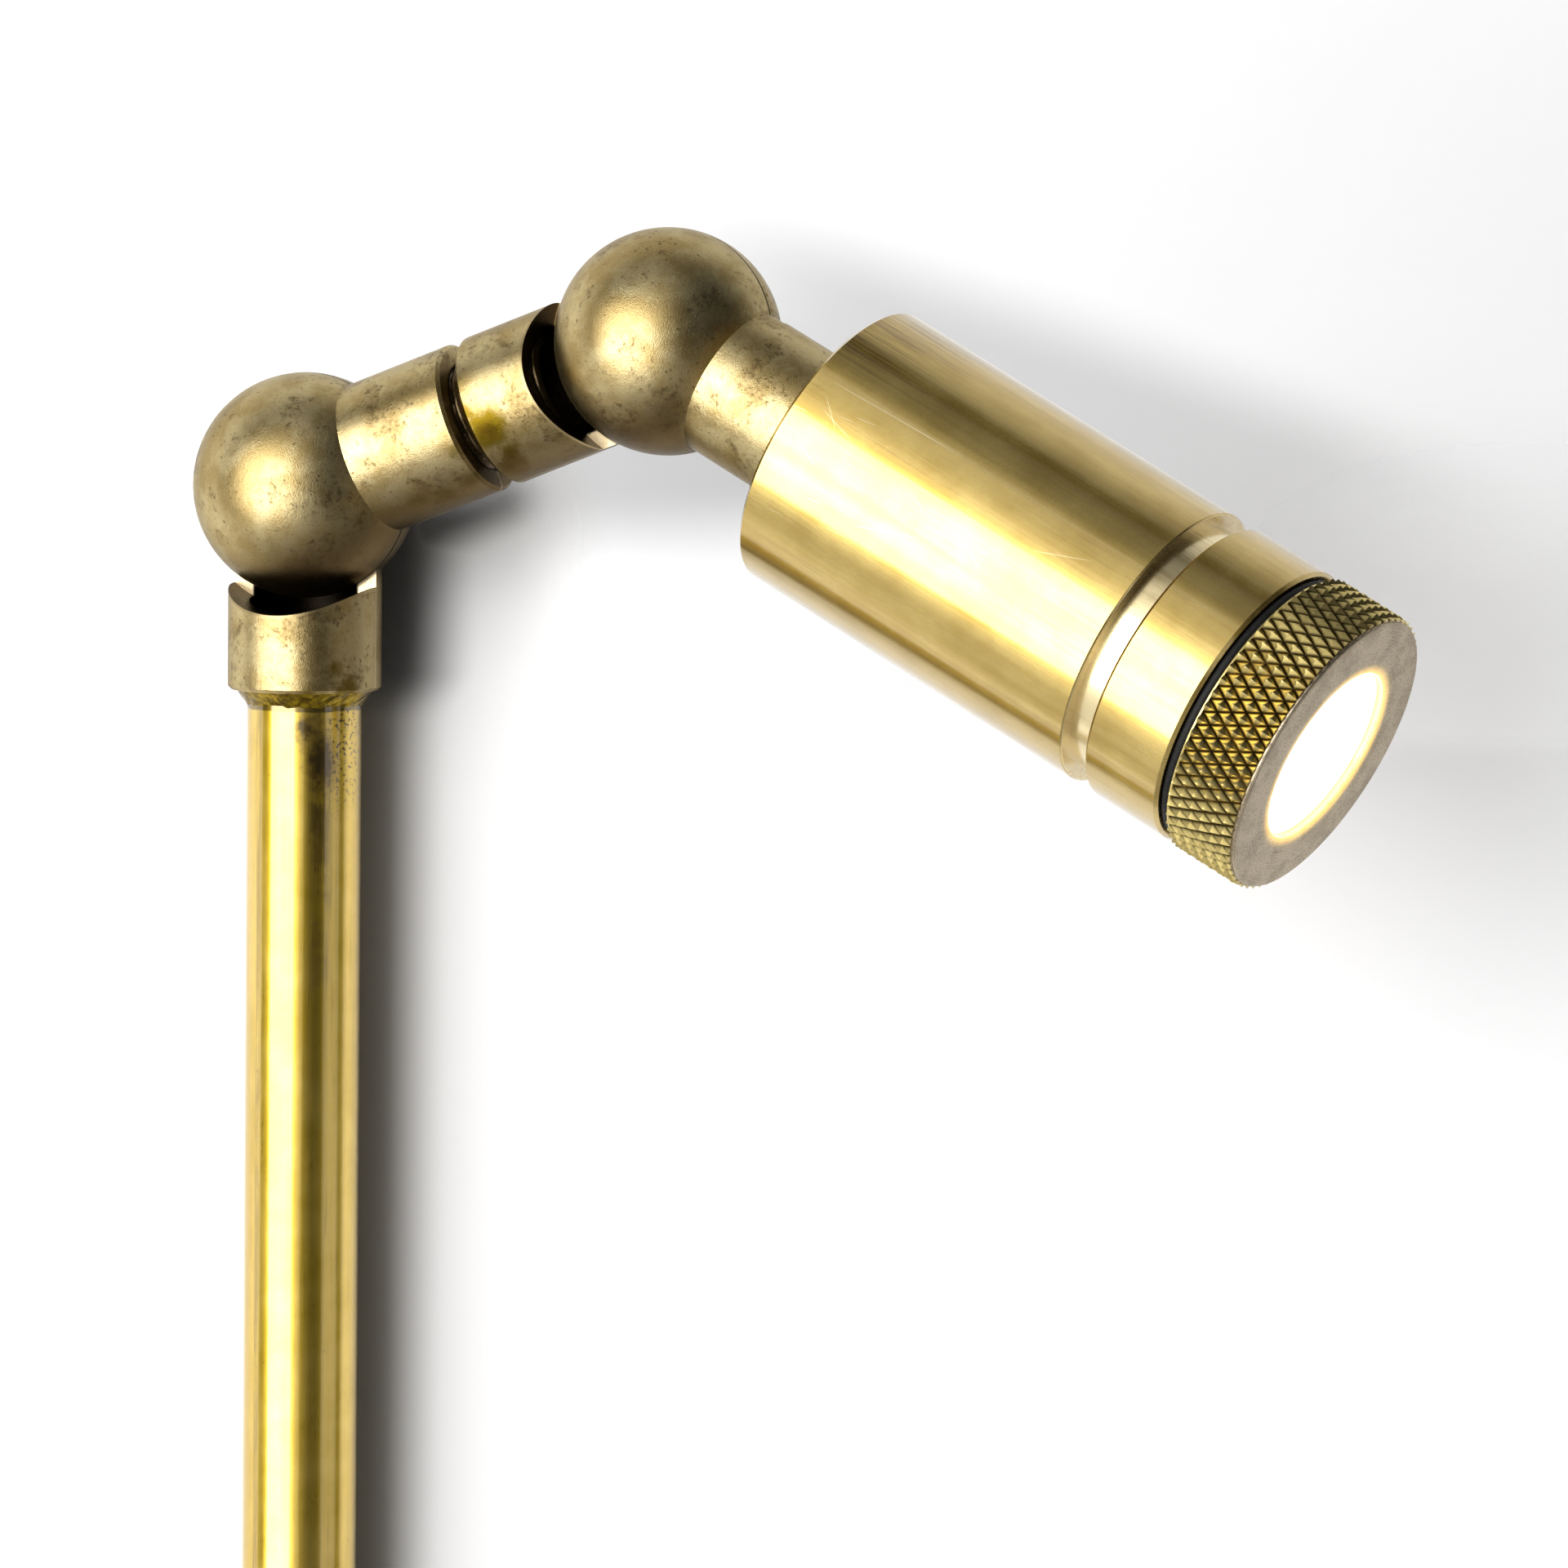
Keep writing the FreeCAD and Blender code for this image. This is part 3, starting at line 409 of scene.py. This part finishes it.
# %% The marks on the head and the pole
HEAD_TONES = ((0.64, 0.46, 0.125), (0.50, 0.335, 0.065), (0.22, 0.135, 0.03))
POLE_TONES = ((0.77, 0.535, 0.085), (0.62, 0.41, 0.026), (0.26, 0.145, 0.010))
FRESH_CUT, WORN_CUT = (0.90, 0.74, 0.40), (0.50, 0.36, 0.14)
HAIR, SCRATCHED = (0.96, 0.85, 0.52), (0.94, 0.82, 0.50)
SCORCH, CHAR, RUN = (0.16, 0.09, 0.018), (0.05, 0.034, 0.016), (0.13, 0.075, 0.012)
FLAKE, SPOT, STRIPE, SOOT = (0.07, 0.04, 0.012), (0.22, 0.12, 0.02), (0.26, 0.15, 0.02), (0.035, 0.024, 0.006)
GROOVE_FROM, GROOVE_TO = 35.62, 38.26
# (lean in degrees, width, threshold) of each field of hairs
HAIRS = ((8.0, 0.16, 0.735), (-24.0, 0.18, 0.76), (63.0, 0.17, 0.775))
# (from, to, half width) of each single scratch
SCRATCHES = (((-28.0, 0.4), (-28.6, 17.0), 0.10), ((-26.9, 2.0), (-24.3, 5.2), 0.06),
             ((-25.6, 2.4), (-24.4, 7.0), 0.05), ((-24.6, 26.0), (-27.0, 32.0), 0.06),
             ((-18.0, 10.0), (-20.5, 17.0), 0.05))


def head_marks(finish, arc, z, streak, cloud, colour):
    # dark streaks from the back edge along the top
    stretch = step(finish, z, 14.0, 2.0) * step(finish, arc, -29.5, -31.5)
    colour = laid(finish, colour, HEAD_TONES[2], streak, 0.40, 0.62, stretch * 0.8)
    # hairs everywhere and more of them near the back, then the single scratches
    handled = 0.2 + step(finish, z, 20.0, 3.0) * 0.45
    for turn, size, low in HAIRS:
        colour = blend(finish, colour, HAIR, scratches(finish, arc, z, turn, size, low) * handled)
    for begin, end, width in SCRATCHES:
        colour = blend(finish, colour, SCRATCHED, scratch(arc, z, begin, end, width) * 0.45)
    # the groove was cut last, so it lies over everything
    groove = band(finish, z, GROOVE_FROM, GROOVE_TO, 0.10)
    floor = laid(finish, FRESH_CUT, WORN_CUT, cloud * 0.5 + streak * 0.5, 0.48, 0.66, 0.7)
    return blend(finish, colour, floor, groove)


def pole_marks(finish, arc, z, streak, cloud, colour):
    flat = finish.node("CombineXYZ", None, {0: arc, 1: z, 2: 0.0})
    # the burnt patch is two blobs with ragged edges
    upper, lower = length(arc + 5.6, z + 21.6), length(arc + 4.2, (z + 24.3) * 0.6)
    burnt = least(upper, lower) + cloud * 2.2 + grain(finish, flat, 0.8, 3.0, 0.7) * 2.6
    colour = laid(finish, colour, SCORCH, burnt, 4.6, 3.3, 0.6)
    colour = laid(finish, colour, CHAR, burnt, 3.7, 2.9, 0.7)
    # its run fades out down the pole
    run = step(finish, magnitude(arc + 4.5), 1.7, 0.3)
    run = run * step(finish, z, -62.0, -24.0) * step(finish, z, -21.0, -24.0)
    colour = laid(finish, colour, RUN, cloud + streak * 0.5, 0.62, 0.84, run * 0.8)
    # flakes to the right of it
    near = step(finish, arc, -4.4, -3.2) * step(finish, arc, 1.5, -0.8) * step(finish, z, -31.0, -24.0)
    colour = laid(finish, colour, FLAKE, grain(finish, flat, 0.42, 2.0, 0.6), 0.55, 0.61, near * 0.9)
    # brown spots anywhere, a stripe at the left, and soot under the bead
    colour = laid(finish, colour, SPOT, grain(finish, flat, 1.1, 2.0, 0.55), 0.71, 0.77, 0.35)
    stripe = step(finish, magnitude(arc + 10.5), 0.5, 0.1)
    colour = laid(finish, colour, STRIPE, streak + cloud * 0.5, 0.60, 0.80, stripe * 0.6)
    return laid(finish, colour, SOOT, z + cloud * 0.5, -19.85, -19.70, 0.75)


wear(["head_tube"], drawn_brass("drawn_brass_head", BACK, HEAD, HINGE, HEAD_RADIUS,
                                HEAD_TONES, 0.17, 1.0, 1.6, head_marks))
pole_brass = drawn_brass("drawn_brass_pole", LOWER, UP, ACROSS, POLE_RADIUS,
                         POLE_TONES, 0.205, 1.0, 1.75, pole_marks)
print("head dressed, and the pole's brass mixed")

# %% [markdown]
# ## Plainer finishes
# The rest of the metal, rubber and plastic is mostly hidden, and shows when someone looks behind,
# below or inside. Each still gets its own grain, because a flat colour looks like a toy.

# %% Turned, cast and moulded finishes
def plain_finish(name, light, dark, metallic, rough, size=0.6, depth=0.01, **constants):
    """Clouds of two colours and a fine tooth whose lumps are size millimetres wide and depth tall."""
    finish = Finish(name, metallic=metallic, **constants)
    where = along(finish, LOWER, UP)
    cloud = grain(finish, where, size * 8.0, 3.0, 0.6)
    tooth = grain(finish, where, size, 3.0, 0.6)
    colour = laid(finish, dark, light, cloud * 0.5 + tooth * 0.5, 0.35, 0.65)
    rough = rough + tooth * 0.12
    return finish.surface(Base_Color=colour, Roughness=rough, Normal=bump(finish, tooth, depth))


# nodes, then the finish: name, light, dark, metallic, rough, size and depth of the tooth
HIDDEN = [
    (["ground_flange", "base_hub", "gland_body", "gland_nut", "head_rear_cap"],
     ("turned_brass", (0.62, 0.48, 0.24), (0.42, 0.31, 0.13), 1.0, 0.28)),
    (["ground_spike"],
     ("spike_brass", (0.50, 0.38, 0.19), (0.26, 0.19, 0.09), 1.0, 0.40, 0.9, 0.03)),
    (["hub_grub_screws", "lower_pivot_screw", "upper_pivot_screw", "lower_thrust_washer",
      "upper_thrust_washer", "lower_spring_washer", "upper_spring_washer", "led_board_screws"],
     ("steel", (0.66, 0.66, 0.65), (0.50, 0.50, 0.50), 1.0, 0.24, 0.3)),
    (["head_nipple", "head_lock_nut"],
     ("nipple_brass", (0.55, 0.42, 0.20), (0.36, 0.26, 0.11), 1.0, 0.30)),
    (["driver_cup", "driver_components", "optic_holder"],
     ("black_plastic", (0.040, 0.040, 0.042), (0.025, 0.025, 0.026), 0.0, 0.45, 0.4)),
    (["lower_friction_disc", "upper_friction_disc"],
     ("fibre", (0.50, 0.32, 0.20), (0.34, 0.20, 0.12), 0.0, 0.75, 0.5, 0.03)),
    (["heat_sink", "led_board"],
     ("aluminium", (0.80, 0.81, 0.82), (0.66, 0.67, 0.68), 1.0, 0.30)),
    (["driver_board"],
     ("circuit_board", (0.05, 0.26, 0.12), (0.03, 0.18, 0.08), 0.0, 0.35)),
    (["led_leads"],
     ("lead_sheath", (0.75, 0.10, 0.08), (0.60, 0.07, 0.06), 0.0, 0.50))]
for nodes, choices in HIDDEN:
    wear(nodes, plain_finish(*choices))
wear(["gland_seal", "neck_seal", "bezel_o_ring", "glass_gasket"],
     plain_finish("black_rubber", (0.014, 0.014, 0.014), (0.006, 0.006, 0.006), 0.0, 0.55, 0.4, 0.02,
                  specular_ior_level=0.2))
print("hidden pieces dressed")

# %% [markdown]
# ## Light from the head
# The lamp is lit. Behind the front glass an emitter and a clear optic make one even disc of light,
# too bright for the picture, with a warm yellow fringe where the disc ends.
# Emission colour may change over the surface, so the fringe is a ring of colour near the rim.

# %% Glass, optic and emitter
def lit_glass(name, strength):
    finish = Finish(name, roughness=0.08, emission_strength=strength)
    x, y, _ = parts(finish, along(finish, BACK, HEAD))
    rim = step(finish, length(x, y), 6.6, 8.6)
    return finish.surface(Base_Color=(0.9, 0.88, 0.8, 1.0),
                          Emission_Color=blend(finish, (1.0, 0.90, 0.70), (1.0, 0.55, 0.10), rim))


wear(["front_glass"], lit_glass("lit_front_glass", 6.0))
wear(["led_emitter"], lit_glass("phosphor", 4.0))
wear(["optic_lens"],
     plain_finish("clear_optic", (0.95, 0.96, 0.97), (0.92, 0.93, 0.94), 0.0, 0.05, 1.0, 0.002, alpha=0.35))
print("lamp lit")

# %% [markdown]
# ## Surfaces from arrays
# Every added piece is a grid of points worked out by numpy: row i, column j.
# One helper joins each point to its neighbours with faces. A grid closes on itself round the
# piece (columns) and along its section (rows), which leaves no open edge.

# %% Grid to mesh
def grid_piece(name, points, folds=None, sharp=35.0):
    """A mesh from a (rows, columns, 3) grid in millimetres. Folds, where given, splits each quad in
    two and says along which diagonal. Edges that bend by more than sharp degrees are shaded sharp."""
    rows, columns = points.shape[:2]
    i = np.arange(rows)[:, None]
    j = np.arange(columns)[None, :]
    a = i * columns + j
    b = i * columns + (j + 1) % columns
    c = (i + 1) % rows * columns + (j + 1) % columns
    d = (i + 1) % rows * columns + j
    if folds is None:
        faces = np.stack([a, b, c, d], -1).reshape(-1, 4)
    else:
        one = np.stack([a, b, c, a, c, d], -1)
        other = np.stack([a, b, d, b, c, d], -1)
        faces = np.where(folds[..., None], one, other).reshape(-1, 3)
    mesh = bpy.data.meshes.new(name)
    mesh.from_pydata((points.reshape(-1, 3) * MM).tolist(), [], faces.tolist())
    mesh.validate()
    mesh.shade_smooth()
    mesh.set_sharp_from_angle(angle=math.radians(sharp))
    piece = bpy.data.objects.new(name, mesh)
    bpy.context.scene.collection.objects.link(piece)
    print(name, len(mesh.vertices), "points,", len(mesh.polygons), "faces")
    return piece


def spun(origin, axis, radius, height, turn):
    """Points at a radius, a height along the axis and an angle round it, three (rows, columns) arrays:
    point = origin + axis * height + radius * (across * cos(turn) + beside * sin(turn))."""
    axis = np.array(axis)
    across = np.cross(axis, [0.0, 0.0, 1.0])
    upright = np.linalg.norm(across) < 1e-6
    across = np.array([1.0, 0.0, 0.0]) if upright else across / np.linalg.norm(across)
    beside = np.cross(axis, across)
    shape = np.broadcast(radius, height, turn).shape
    radius, height, turn = [np.broadcast_to(v, shape)[..., None] for v in (radius, height, turn)]
    return np.array(origin) + axis * height + radius * (across * np.cos(turn) + beside * np.sin(turn))


print("grid helpers ready")

# %% [markdown]
# ## The knurled bezel
# A diamond knurl is two families of V grooves that cross at 30 degrees to the axis and leave
# small four-sided pyramids. Number the grooves: u = turns * 64 + height / pitch, and v is the
# same with a minus. A pyramid's height is the smaller of the two triangle waves of u and v.
# The ring is closed: bore, back, knurl, rounded rim, flat face and aperture edge follow each other.

# %% Knurl
PYRAMIDS, LEAD, DEPTH, FLAT_TOP = 64, 2.312, 0.50, 0.90
BEZEL_FROM, BEZEL_TO = 47.05, 54.35
BEZEL_RADIUS, BORE_RADIUS, APERTURE, FACE_THICK = 13.6, 12.05, 8.2, 0.8
ROOT = BEZEL_RADIUS - DEPTH
FINE = 4

knurl_from, knurl_to = BEZEL_FROM + 0.25, BEZEL_TO - 0.38
rows_high = int(round((knurl_to - knurl_from) / (LEAD / 2) * FINE))
heights = np.linspace(knurl_from, knurl_to, rows_high + 1)
columns = PYRAMIDS * 2 * FINE
turns = np.arange(columns) / columns


def wave(value):
    """A triangle wave: 0 at whole numbers, 1 half way between them."""
    return 1.0 - np.abs(2.0 * (value - np.floor(value)) - 1.0)


around = turns[None, :] * PYRAMIDS
up = (np.arange(rows_high + 1) / FINE / 2)[:, None]
pyramid = np.minimum(wave(around + up), wave(around - up))
pyramid = np.minimum(pyramid, FLAT_TOP - 0.12 * (pyramid - FLAT_TOP))
knurl_radius = BEZEL_RADIUS - DEPTH * (1 - pyramid / FLAT_TOP)

# the plain part of the section, from the front rim round the bore to the back edge
plain = np.array([
    (ROOT + 0.02, BEZEL_TO - 0.36), (ROOT + 0.02, BEZEL_TO - 0.22), (ROOT - 0.04, BEZEL_TO - 0.09),
    (ROOT - 0.18, BEZEL_TO - 0.02), (ROOT - 0.4, BEZEL_TO), (11.5, BEZEL_TO), (10.0, BEZEL_TO),
    (APERTURE + 0.22, BEZEL_TO), (APERTURE + 0.06, BEZEL_TO - 0.05), (APERTURE, BEZEL_TO - 0.2),
    (APERTURE, BEZEL_TO - FACE_THICK), (BORE_RADIUS, BEZEL_TO - FACE_THICK), (BORE_RADIUS, BEZEL_FROM),
    (ROOT, BEZEL_FROM), (ROOT + 0.08, BEZEL_FROM + 0.04), (ROOT + 0.1, BEZEL_FROM + 0.2)])
radius = np.concatenate([knurl_radius, np.repeat(plain[:, :1], columns, 1)])
height = np.concatenate([np.repeat(heights[:, None], columns, 1), np.repeat(plain[:, 1:], columns, 1)])
cells = np.arange(len(radius))[:, None] // FINE + np.arange(columns)[None, :] // FINE
bezel = grid_piece("bezel_knurled", spun(BACK, HEAD, radius, height, -turns[None, :] * 2 * math.pi),
                   folds=cells % 2 == 0, sharp=24.0)
crests = np.concatenate([pyramid, np.full((len(plain), columns), FLAT_TOP)])
tone = bezel.data.attributes.new("crest", "FLOAT", "POINT")
tone.data.foreach_set("value", crests.ravel().astype(np.float32))
print("pyramids round the ring:", PYRAMIDS, "rows:", round(rows_high / FINE, 1))

# %% [markdown]
# The knurl's finish follows the crest attribute that the last cell stored: pale at the crests and dark down
# in the grooves. The flat face is paler, with the fine rings that a lathe tool leaves, and a painted glow,
# the bezel's own warm emission near the aperture's edge, stands in for lamp light spilling over it.

# %% Finish of the bezel
def bezel_brass(name):
    finish = Finish(name, metallic=1.0, emission_strength=1.0)
    where = along(finish, BACK, HEAD)
    x, y, z = parts(finish, where)
    out = length(x, y)
    crest = finish.node("Attribute", {"attribute_name": "crest"}, output=2)
    cloud = grain(finish, where, 2.5, 4.0, 0.6)
    speck = grain(finish, where, 0.22, 2.0, 0.6)
    rings = finish.node("TexNoise", {"noise_dimensions": "1D"},
                        {"W": out * 9.0 + cloud * 1.5, "Scale": 1.0, "Detail": 2.0})
    # dark down in the grooves and pale at the crests, following the crest attribute
    knurled = laid(finish, (0.05, 0.034, 0.010), (0.64, 0.51, 0.19), crest, 0.06, 0.46)
    knurled = laid(finish, knurled, (0.34, 0.24, 0.08), cloud, 0.50, 0.72, 0.4)
    faced = laid(finish, (0.47, 0.39, 0.275), (0.31, 0.245, 0.16), cloud, 0.42, 0.62, 0.5)
    faced = laid(finish, faced, (0.17, 0.13, 0.085), speck + cloud * 0.25, 0.60, 0.74, 0.7)
    faced = laid(finish, faced, (0.62, 0.53, 0.39), rings + speck * 0.4, 0.66, 0.84, 0.4)
    front = step(finish, z, BEZEL_TO - 0.40, BEZEL_TO - 0.34)
    colour = blend(finish, knurled, faced, front)
    rough = 0.24 + front * 0.16 + cloud * 0.08
    relief = bump(finish, speck * 0.6 + rings * front * 0.8, 0.010)
    # painted glow: the bezel's own emission, warm near the aperture, stands in for lamp light spilling onto
    # it
    painted_spill = step(finish, out, 9.6, 8.2) * step(finish, z, BEZEL_TO - 1.0, BEZEL_TO - 0.7)
    painted_glow = blend(finish, (0.0, 0.0, 0.0), (1.0, 0.62, 0.12), painted_spill ** 2.2)
    return finish.surface(Base_Color=colour, Roughness=rough, Normal=relief, Emission_Color=painted_glow)


bezel.data.materials.append(bezel_brass("knurled_brass"))
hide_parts("bezel_ring")
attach(bezel, "bezel")
print("bezel stands for bezel_ring")

# %% [markdown]
# ## The pole
# The pole is a plain tube, but the CAD mesh of it has few sides, which shows in the long highlight.
# This tube has 160 sides: its section is a closed outline of (radius, height) spun about the pole's axis.

# %% Pole
POLE_BORE, POLE_FROM, POLE_TO, POLE_SIDES = 4.15, 22.0, 247.7, 160
POLE_MIDDLE, POLE_CHAMFER = 130.0, 0.1

section = np.array([
    (POLE_RADIUS - POLE_CHAMFER, POLE_FROM), (POLE_RADIUS, POLE_FROM + POLE_CHAMFER),
    (POLE_RADIUS, POLE_MIDDLE), (POLE_RADIUS, POLE_TO - POLE_CHAMFER),
    (POLE_RADIUS - POLE_CHAMFER, POLE_TO), (POLE_BORE, POLE_TO), (POLE_BORE, POLE_MIDDLE),
    (POLE_BORE, POLE_FROM)])
around = np.arange(POLE_SIDES)[None, :] / POLE_SIDES * 2 * math.pi
pole = grid_piece("pole_drawn", spun((0, 0, 0), UP, section[:, :1], section[:, 1:], around)[::-1])
pole.data.materials.append(pole_brass)
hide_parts("pole_tube")
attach(pole, "stake")

# %% [markdown]
# ## The thread in the gap
# The two halves of the arm screw onto one hollow nipple, M10 with a 1 mm pitch, and a sliver of its
# thread shows between them. A thread is a radius that rises and falls along a helix:
# radius = mean + wave(height / pitch - turn) * depth.

# %% Arm nipple
NIPPLE_OUT, NIPPLE_IN, NIPPLE_FROM, NIPPLE_TO = 4.98, 3.9, 11.0, 26.6
NIPPLE_SIDES, NIPPLE_ROWS, THREAD_DEPTH = 96, 157, 0.55

around = np.arange(NIPPLE_SIDES)[None, :] / NIPPLE_SIDES
along_it = np.linspace(NIPPLE_FROM, NIPPLE_TO, NIPPLE_ROWS)[:, None]
crest = NIPPLE_OUT - THREAD_DEPTH * (1 - np.clip(wave(along_it - around) * 1.25, 0, 1))
outer = spun(LOWER, ARM, crest, along_it, around * 2 * math.pi)
inner = spun(LOWER, ARM, NIPPLE_IN, np.array([[NIPPLE_TO], [NIPPLE_FROM]]), around * 2 * math.pi)
nipple = grid_piece("arm_thread", np.concatenate([outer, inner])[::-1])
nipple.data.materials.append(
    plain_finish("dark_thread", (0.16, 0.115, 0.06), (0.05, 0.035, 0.018), 1.0, 0.34, 0.3, 0.02))
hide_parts("arm_nipple")
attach(nipple, "arm")

# %% [markdown]
# ## The brazed bead
# The pole is brazed into its knuckle. The bead that ran out is lumpy and flux-stained, so its
# radius is the CAD fillet's with a little noise made of a few sine waves round the pole.

# %% Brazed bead
BEAD_TOP, BEAD_HEIGHT, BEAD_WIDTH, BEAD_SIDES = 260.0 - 18.3, 1.25, 0.94, 180

around = np.arange(BEAD_SIDES)[None, :] / BEAD_SIDES * 2 * math.pi
down = np.linspace(0, 1, 14)[:, None]
lumps = (0.10 * np.sin(around * 5 + 1.0) + 0.07 * np.sin(around * 11 + 2.0 + down * 3)
         + 0.05 * np.sin(around * 23 + down * 9) + 0.03 * np.sin(around * 41 - down * 14))
bead_out = POLE_RADIUS + 0.06 + (BEAD_WIDTH + lumps * 0.6) * (1 - down) ** 1.3 * (1 + 0.3 * down)
bead_down = BEAD_TOP - (BEAD_HEIGHT + lumps) * down - 0.01
outer = spun((0, 0, 0), UP, bead_out, bead_down, around)
inner = spun((0, 0, 0), UP, POLE_RADIUS + 0.005, np.array([[BEAD_TOP - 1.2], [BEAD_TOP - 0.01]]), around)
bead = grid_piece("braze_bead", np.concatenate([outer, inner])[::-1], sharp=60.0)
bead.data.materials.append(
    plain_finish("braze", (0.38, 0.26, 0.018), (0.09, 0.055, 0.007), 1.0, 0.18, 0.7, 0.02))
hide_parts("braze_fillet")
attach(bead, "stake")

# %% [markdown]
# ## The studio
# The light lies on white paper in the photograph, lit by one big soft box from the left.
# Here one wide sheet stands close behind the pole and catches its shadow. It ends below the swivels,
# so that the lamp head can swing back over it, and its top edge fades into a second, farther sheet.
# Both let light and view through from behind, so they hide nothing there. The floor is pale too.
# Where metal all but touches paper hardly any light gets in. The sheets stand a little too far back
# to show that by themselves, so painted shadow makes them greyer along the pole, under the arm and above the
# head.

# %% Paper and floor
level = Vector((BACKWARD.x, BACKWARD.y, 0)).normalized()
beside = UP.cross(level).normalized()


def stage_plane(name, corners, finish):
    """A strip of faces between corners that are given in pairs, left then right, from the bottom up."""
    mesh = bpy.data.meshes.new(name)
    rows = range(0, len(corners) - 2, 2)
    mesh.from_pydata([tuple(c * MM) for c in corners], [], [(i, i + 1, i + 3, i + 2) for i in rows])
    mesh.shade_smooth()
    plane = bpy.data.objects.new(name, mesh)
    bpy.context.scene.collection.objects.link(plane)
    mesh.materials.append(finish.material)


WHITE_PAPER, PAINTED_SHADOW_COLOUR = (0.895, 0.895, 0.90), (0.0, 0.0, 0.002)


def paper(name, shade, fade=None):
    """White paper seen from the front only. Shade returns how much painted shadow greys it, and fade how much
    of it is there, both from 0 to 1. They take x, the millimetres to the right of the pole, and z, those
    above the lower ball."""
    finish = Finish(name, roughness=0.9)
    front = 1.0 - Wire(finish, finish.node("NewGeometry").socket.node.outputs["Backfacing"])
    x, _, z = parts(finish, along(finish, LOWER, UP, 1.0, -level))
    # the painted shadow greys the paper's own colour
    finish.surface(Base_Color=blend(finish, WHITE_PAPER, PAINTED_SHADOW_COLOUR, shade(finish, x, z)))
    if fade:
        front = front * fade(finish, x, z)
    clear = finish.node("BsdfTransparent")
    shown = finish.node("MixShader", None, {0: front, 1: clear, 2: Wire(finish, finish.shader.outputs[0])})
    finish.tree.links.new(shown.socket, finish.tree.nodes["Material Output"].inputs["Surface"])
    return finish


def near_extent(finish, x, z):
    """All of the sheet below the lower swivel, a tab that stands behind it, and the part beside the head."""
    low = step(finish, z, -17.0, -25.0)
    tab = step(finish, z, 6.0, -4.0) * step(finish, x, -6.0, -2.0) * step(finish, x, 28.0, 18.0)
    right = step(finish, z, 18.0, -16.0) * step(finish, x, 62.0, 108.0) * 0.75
    return most(low, most(tab, right))


def near_painted_shadow(finish, x, z):
    """Painted shadow along the right of the pole, wider at its knuckle, and under the arm."""
    collar = step(finish, z, -22.0, -17.0)
    pole = step(finish, x - collar * 2.6, 13.0, 5.5) * step(finish, x, 1.0, 4.0) * (0.72 + collar * 0.16)
    arm = scratch(x, z, (5.0, -5.5), (21.0, 2.5), 6.0) * 0.8
    return most(pole, arm)


def far_painted_shade(finish, x, z):
    """Faint and wide painted shadow, along the top of the lamp head and under the arm. High above the picture
    painted shade makes the paper fall off to grey, where the soft box no longer reaches it."""
    head = scratch(x, z, (22.0, 18.0), (118.0, -15.0), 13.0) * 0.32
    arm = scratch(x, z, (0.0, -3.0), (60.0, 1.0), 14.0) * 0.42
    return most(head, arm) + step(finish, z, 60.0, 420.0) * 0.4


def sheet(name, half_width, profile, shade, fade=None):
    """A sheet that runs level from side to side. Profile is (distance behind the pole's axis, height)
    from the bottom up."""
    corners = [level * -distance + UP * tall + beside * wide
               for distance, tall in profile for wide in (-half_width, half_width)]
    stage_plane(name, corners, paper(name, shade, fade))


floor_level = cad_box[0][2] / MM - 0.5
NEAR_PROFILE = [(7.1, 62), (7.1, 236), (7.3, 243), (7.7, 248), (8.4, 252), (9.8, 256), (10.4, 260),
                (10.4, 300)]
FAR_DISTANCE, FAR_TOP, FLOOR_HALF = 95.0, 1500.0, 4000
sheet("near_paper", 700.0, NEAR_PROFILE, near_painted_shadow, near_extent)
sheet("far_paper", 1600.0, [(FAR_DISTANCE, floor_level), (FAR_DISTANCE, FAR_TOP)], far_painted_shade)
floor_corners = [Vector((x, y, floor_level))
                 for y in (-FLOOR_HALF, FLOOR_HALF) for x in (-FLOOR_HALF, FLOOR_HALF)]
stage_plane("floor", floor_corners, Finish("floor", base_color=(0.5, 0.5, 0.5, 1.0), roughness=0.9))
print("paper and floor set")

# %% [markdown]
# One large lamp at the left does most of the work, and a wide weak one round it softens its edges.
# Two above it carry its light on over the top of the head, darker as they go, and the last stands
# for a pale wall at the right. Each lamp is placed by its direction as the camera sees it.

# %% Lamps and world
LAMP_DISTANCE = 0.90
AIM = LOWER + Vector((30, 0, -10))
WORLD_COLOUR = (0.045, 0.045, 0.047, 1.0)
# name, azimuth to the right, elevation, distance, width, height in metres, radiance
LAMPS = [("key", -43, 2.5, LAMP_DISTANCE, 0.86, 0.90, 5.4),
         ("key_halo", -34, 6, LAMP_DISTANCE + 0.04, 1.34, 1.30, 0.7),
         ("key_top", -24, 47, LAMP_DISTANCE, 0.62, 0.46, 0.85),
         ("overhead", -12, 72, LAMP_DISTANCE, 0.70, 0.44, 0.22),
         ("side", 62, -13, LAMP_DISTANCE, 0.56, 0.30, 0.75)]


def soft_box(name, azimuth, elevation, distance, wide, high, radiance):
    """An area lamp round the camera's own direction. Its power is radiance * area * pi."""
    a, e = math.radians(azimuth), math.radians(elevation)
    way = (BACKWARD * math.cos(a) + RIGHTWARD * math.sin(a)) * math.cos(e) + UPWARD * math.sin(e)
    lamp = bpy.data.lights.new(name, "AREA")
    lamp.shape, lamp.size, lamp.size_y = "RECTANGLE", wide, high
    lamp.energy = radiance * wide * high * math.pi
    thing = bpy.data.objects.new(name, lamp)
    thing.location = AIM * MM + way * distance
    thing.rotation_mode = "QUATERNION"
    thing.rotation_quaternion = way.to_track_quat("Z", "Y")
    bpy.context.scene.collection.objects.link(thing)


for lamp in LAMPS:
    soft_box(*lamp)
world = bpy.data.worlds.new("studio")
world.use_nodes = True
world.node_tree.nodes["Background"].inputs["Color"].default_value = WORLD_COLOUR
bpy.context.scene.world = world
bpy.context.scene.view_settings.view_transform = "Standard"
print("lamps set:", [lamp[0] for lamp in LAMPS])
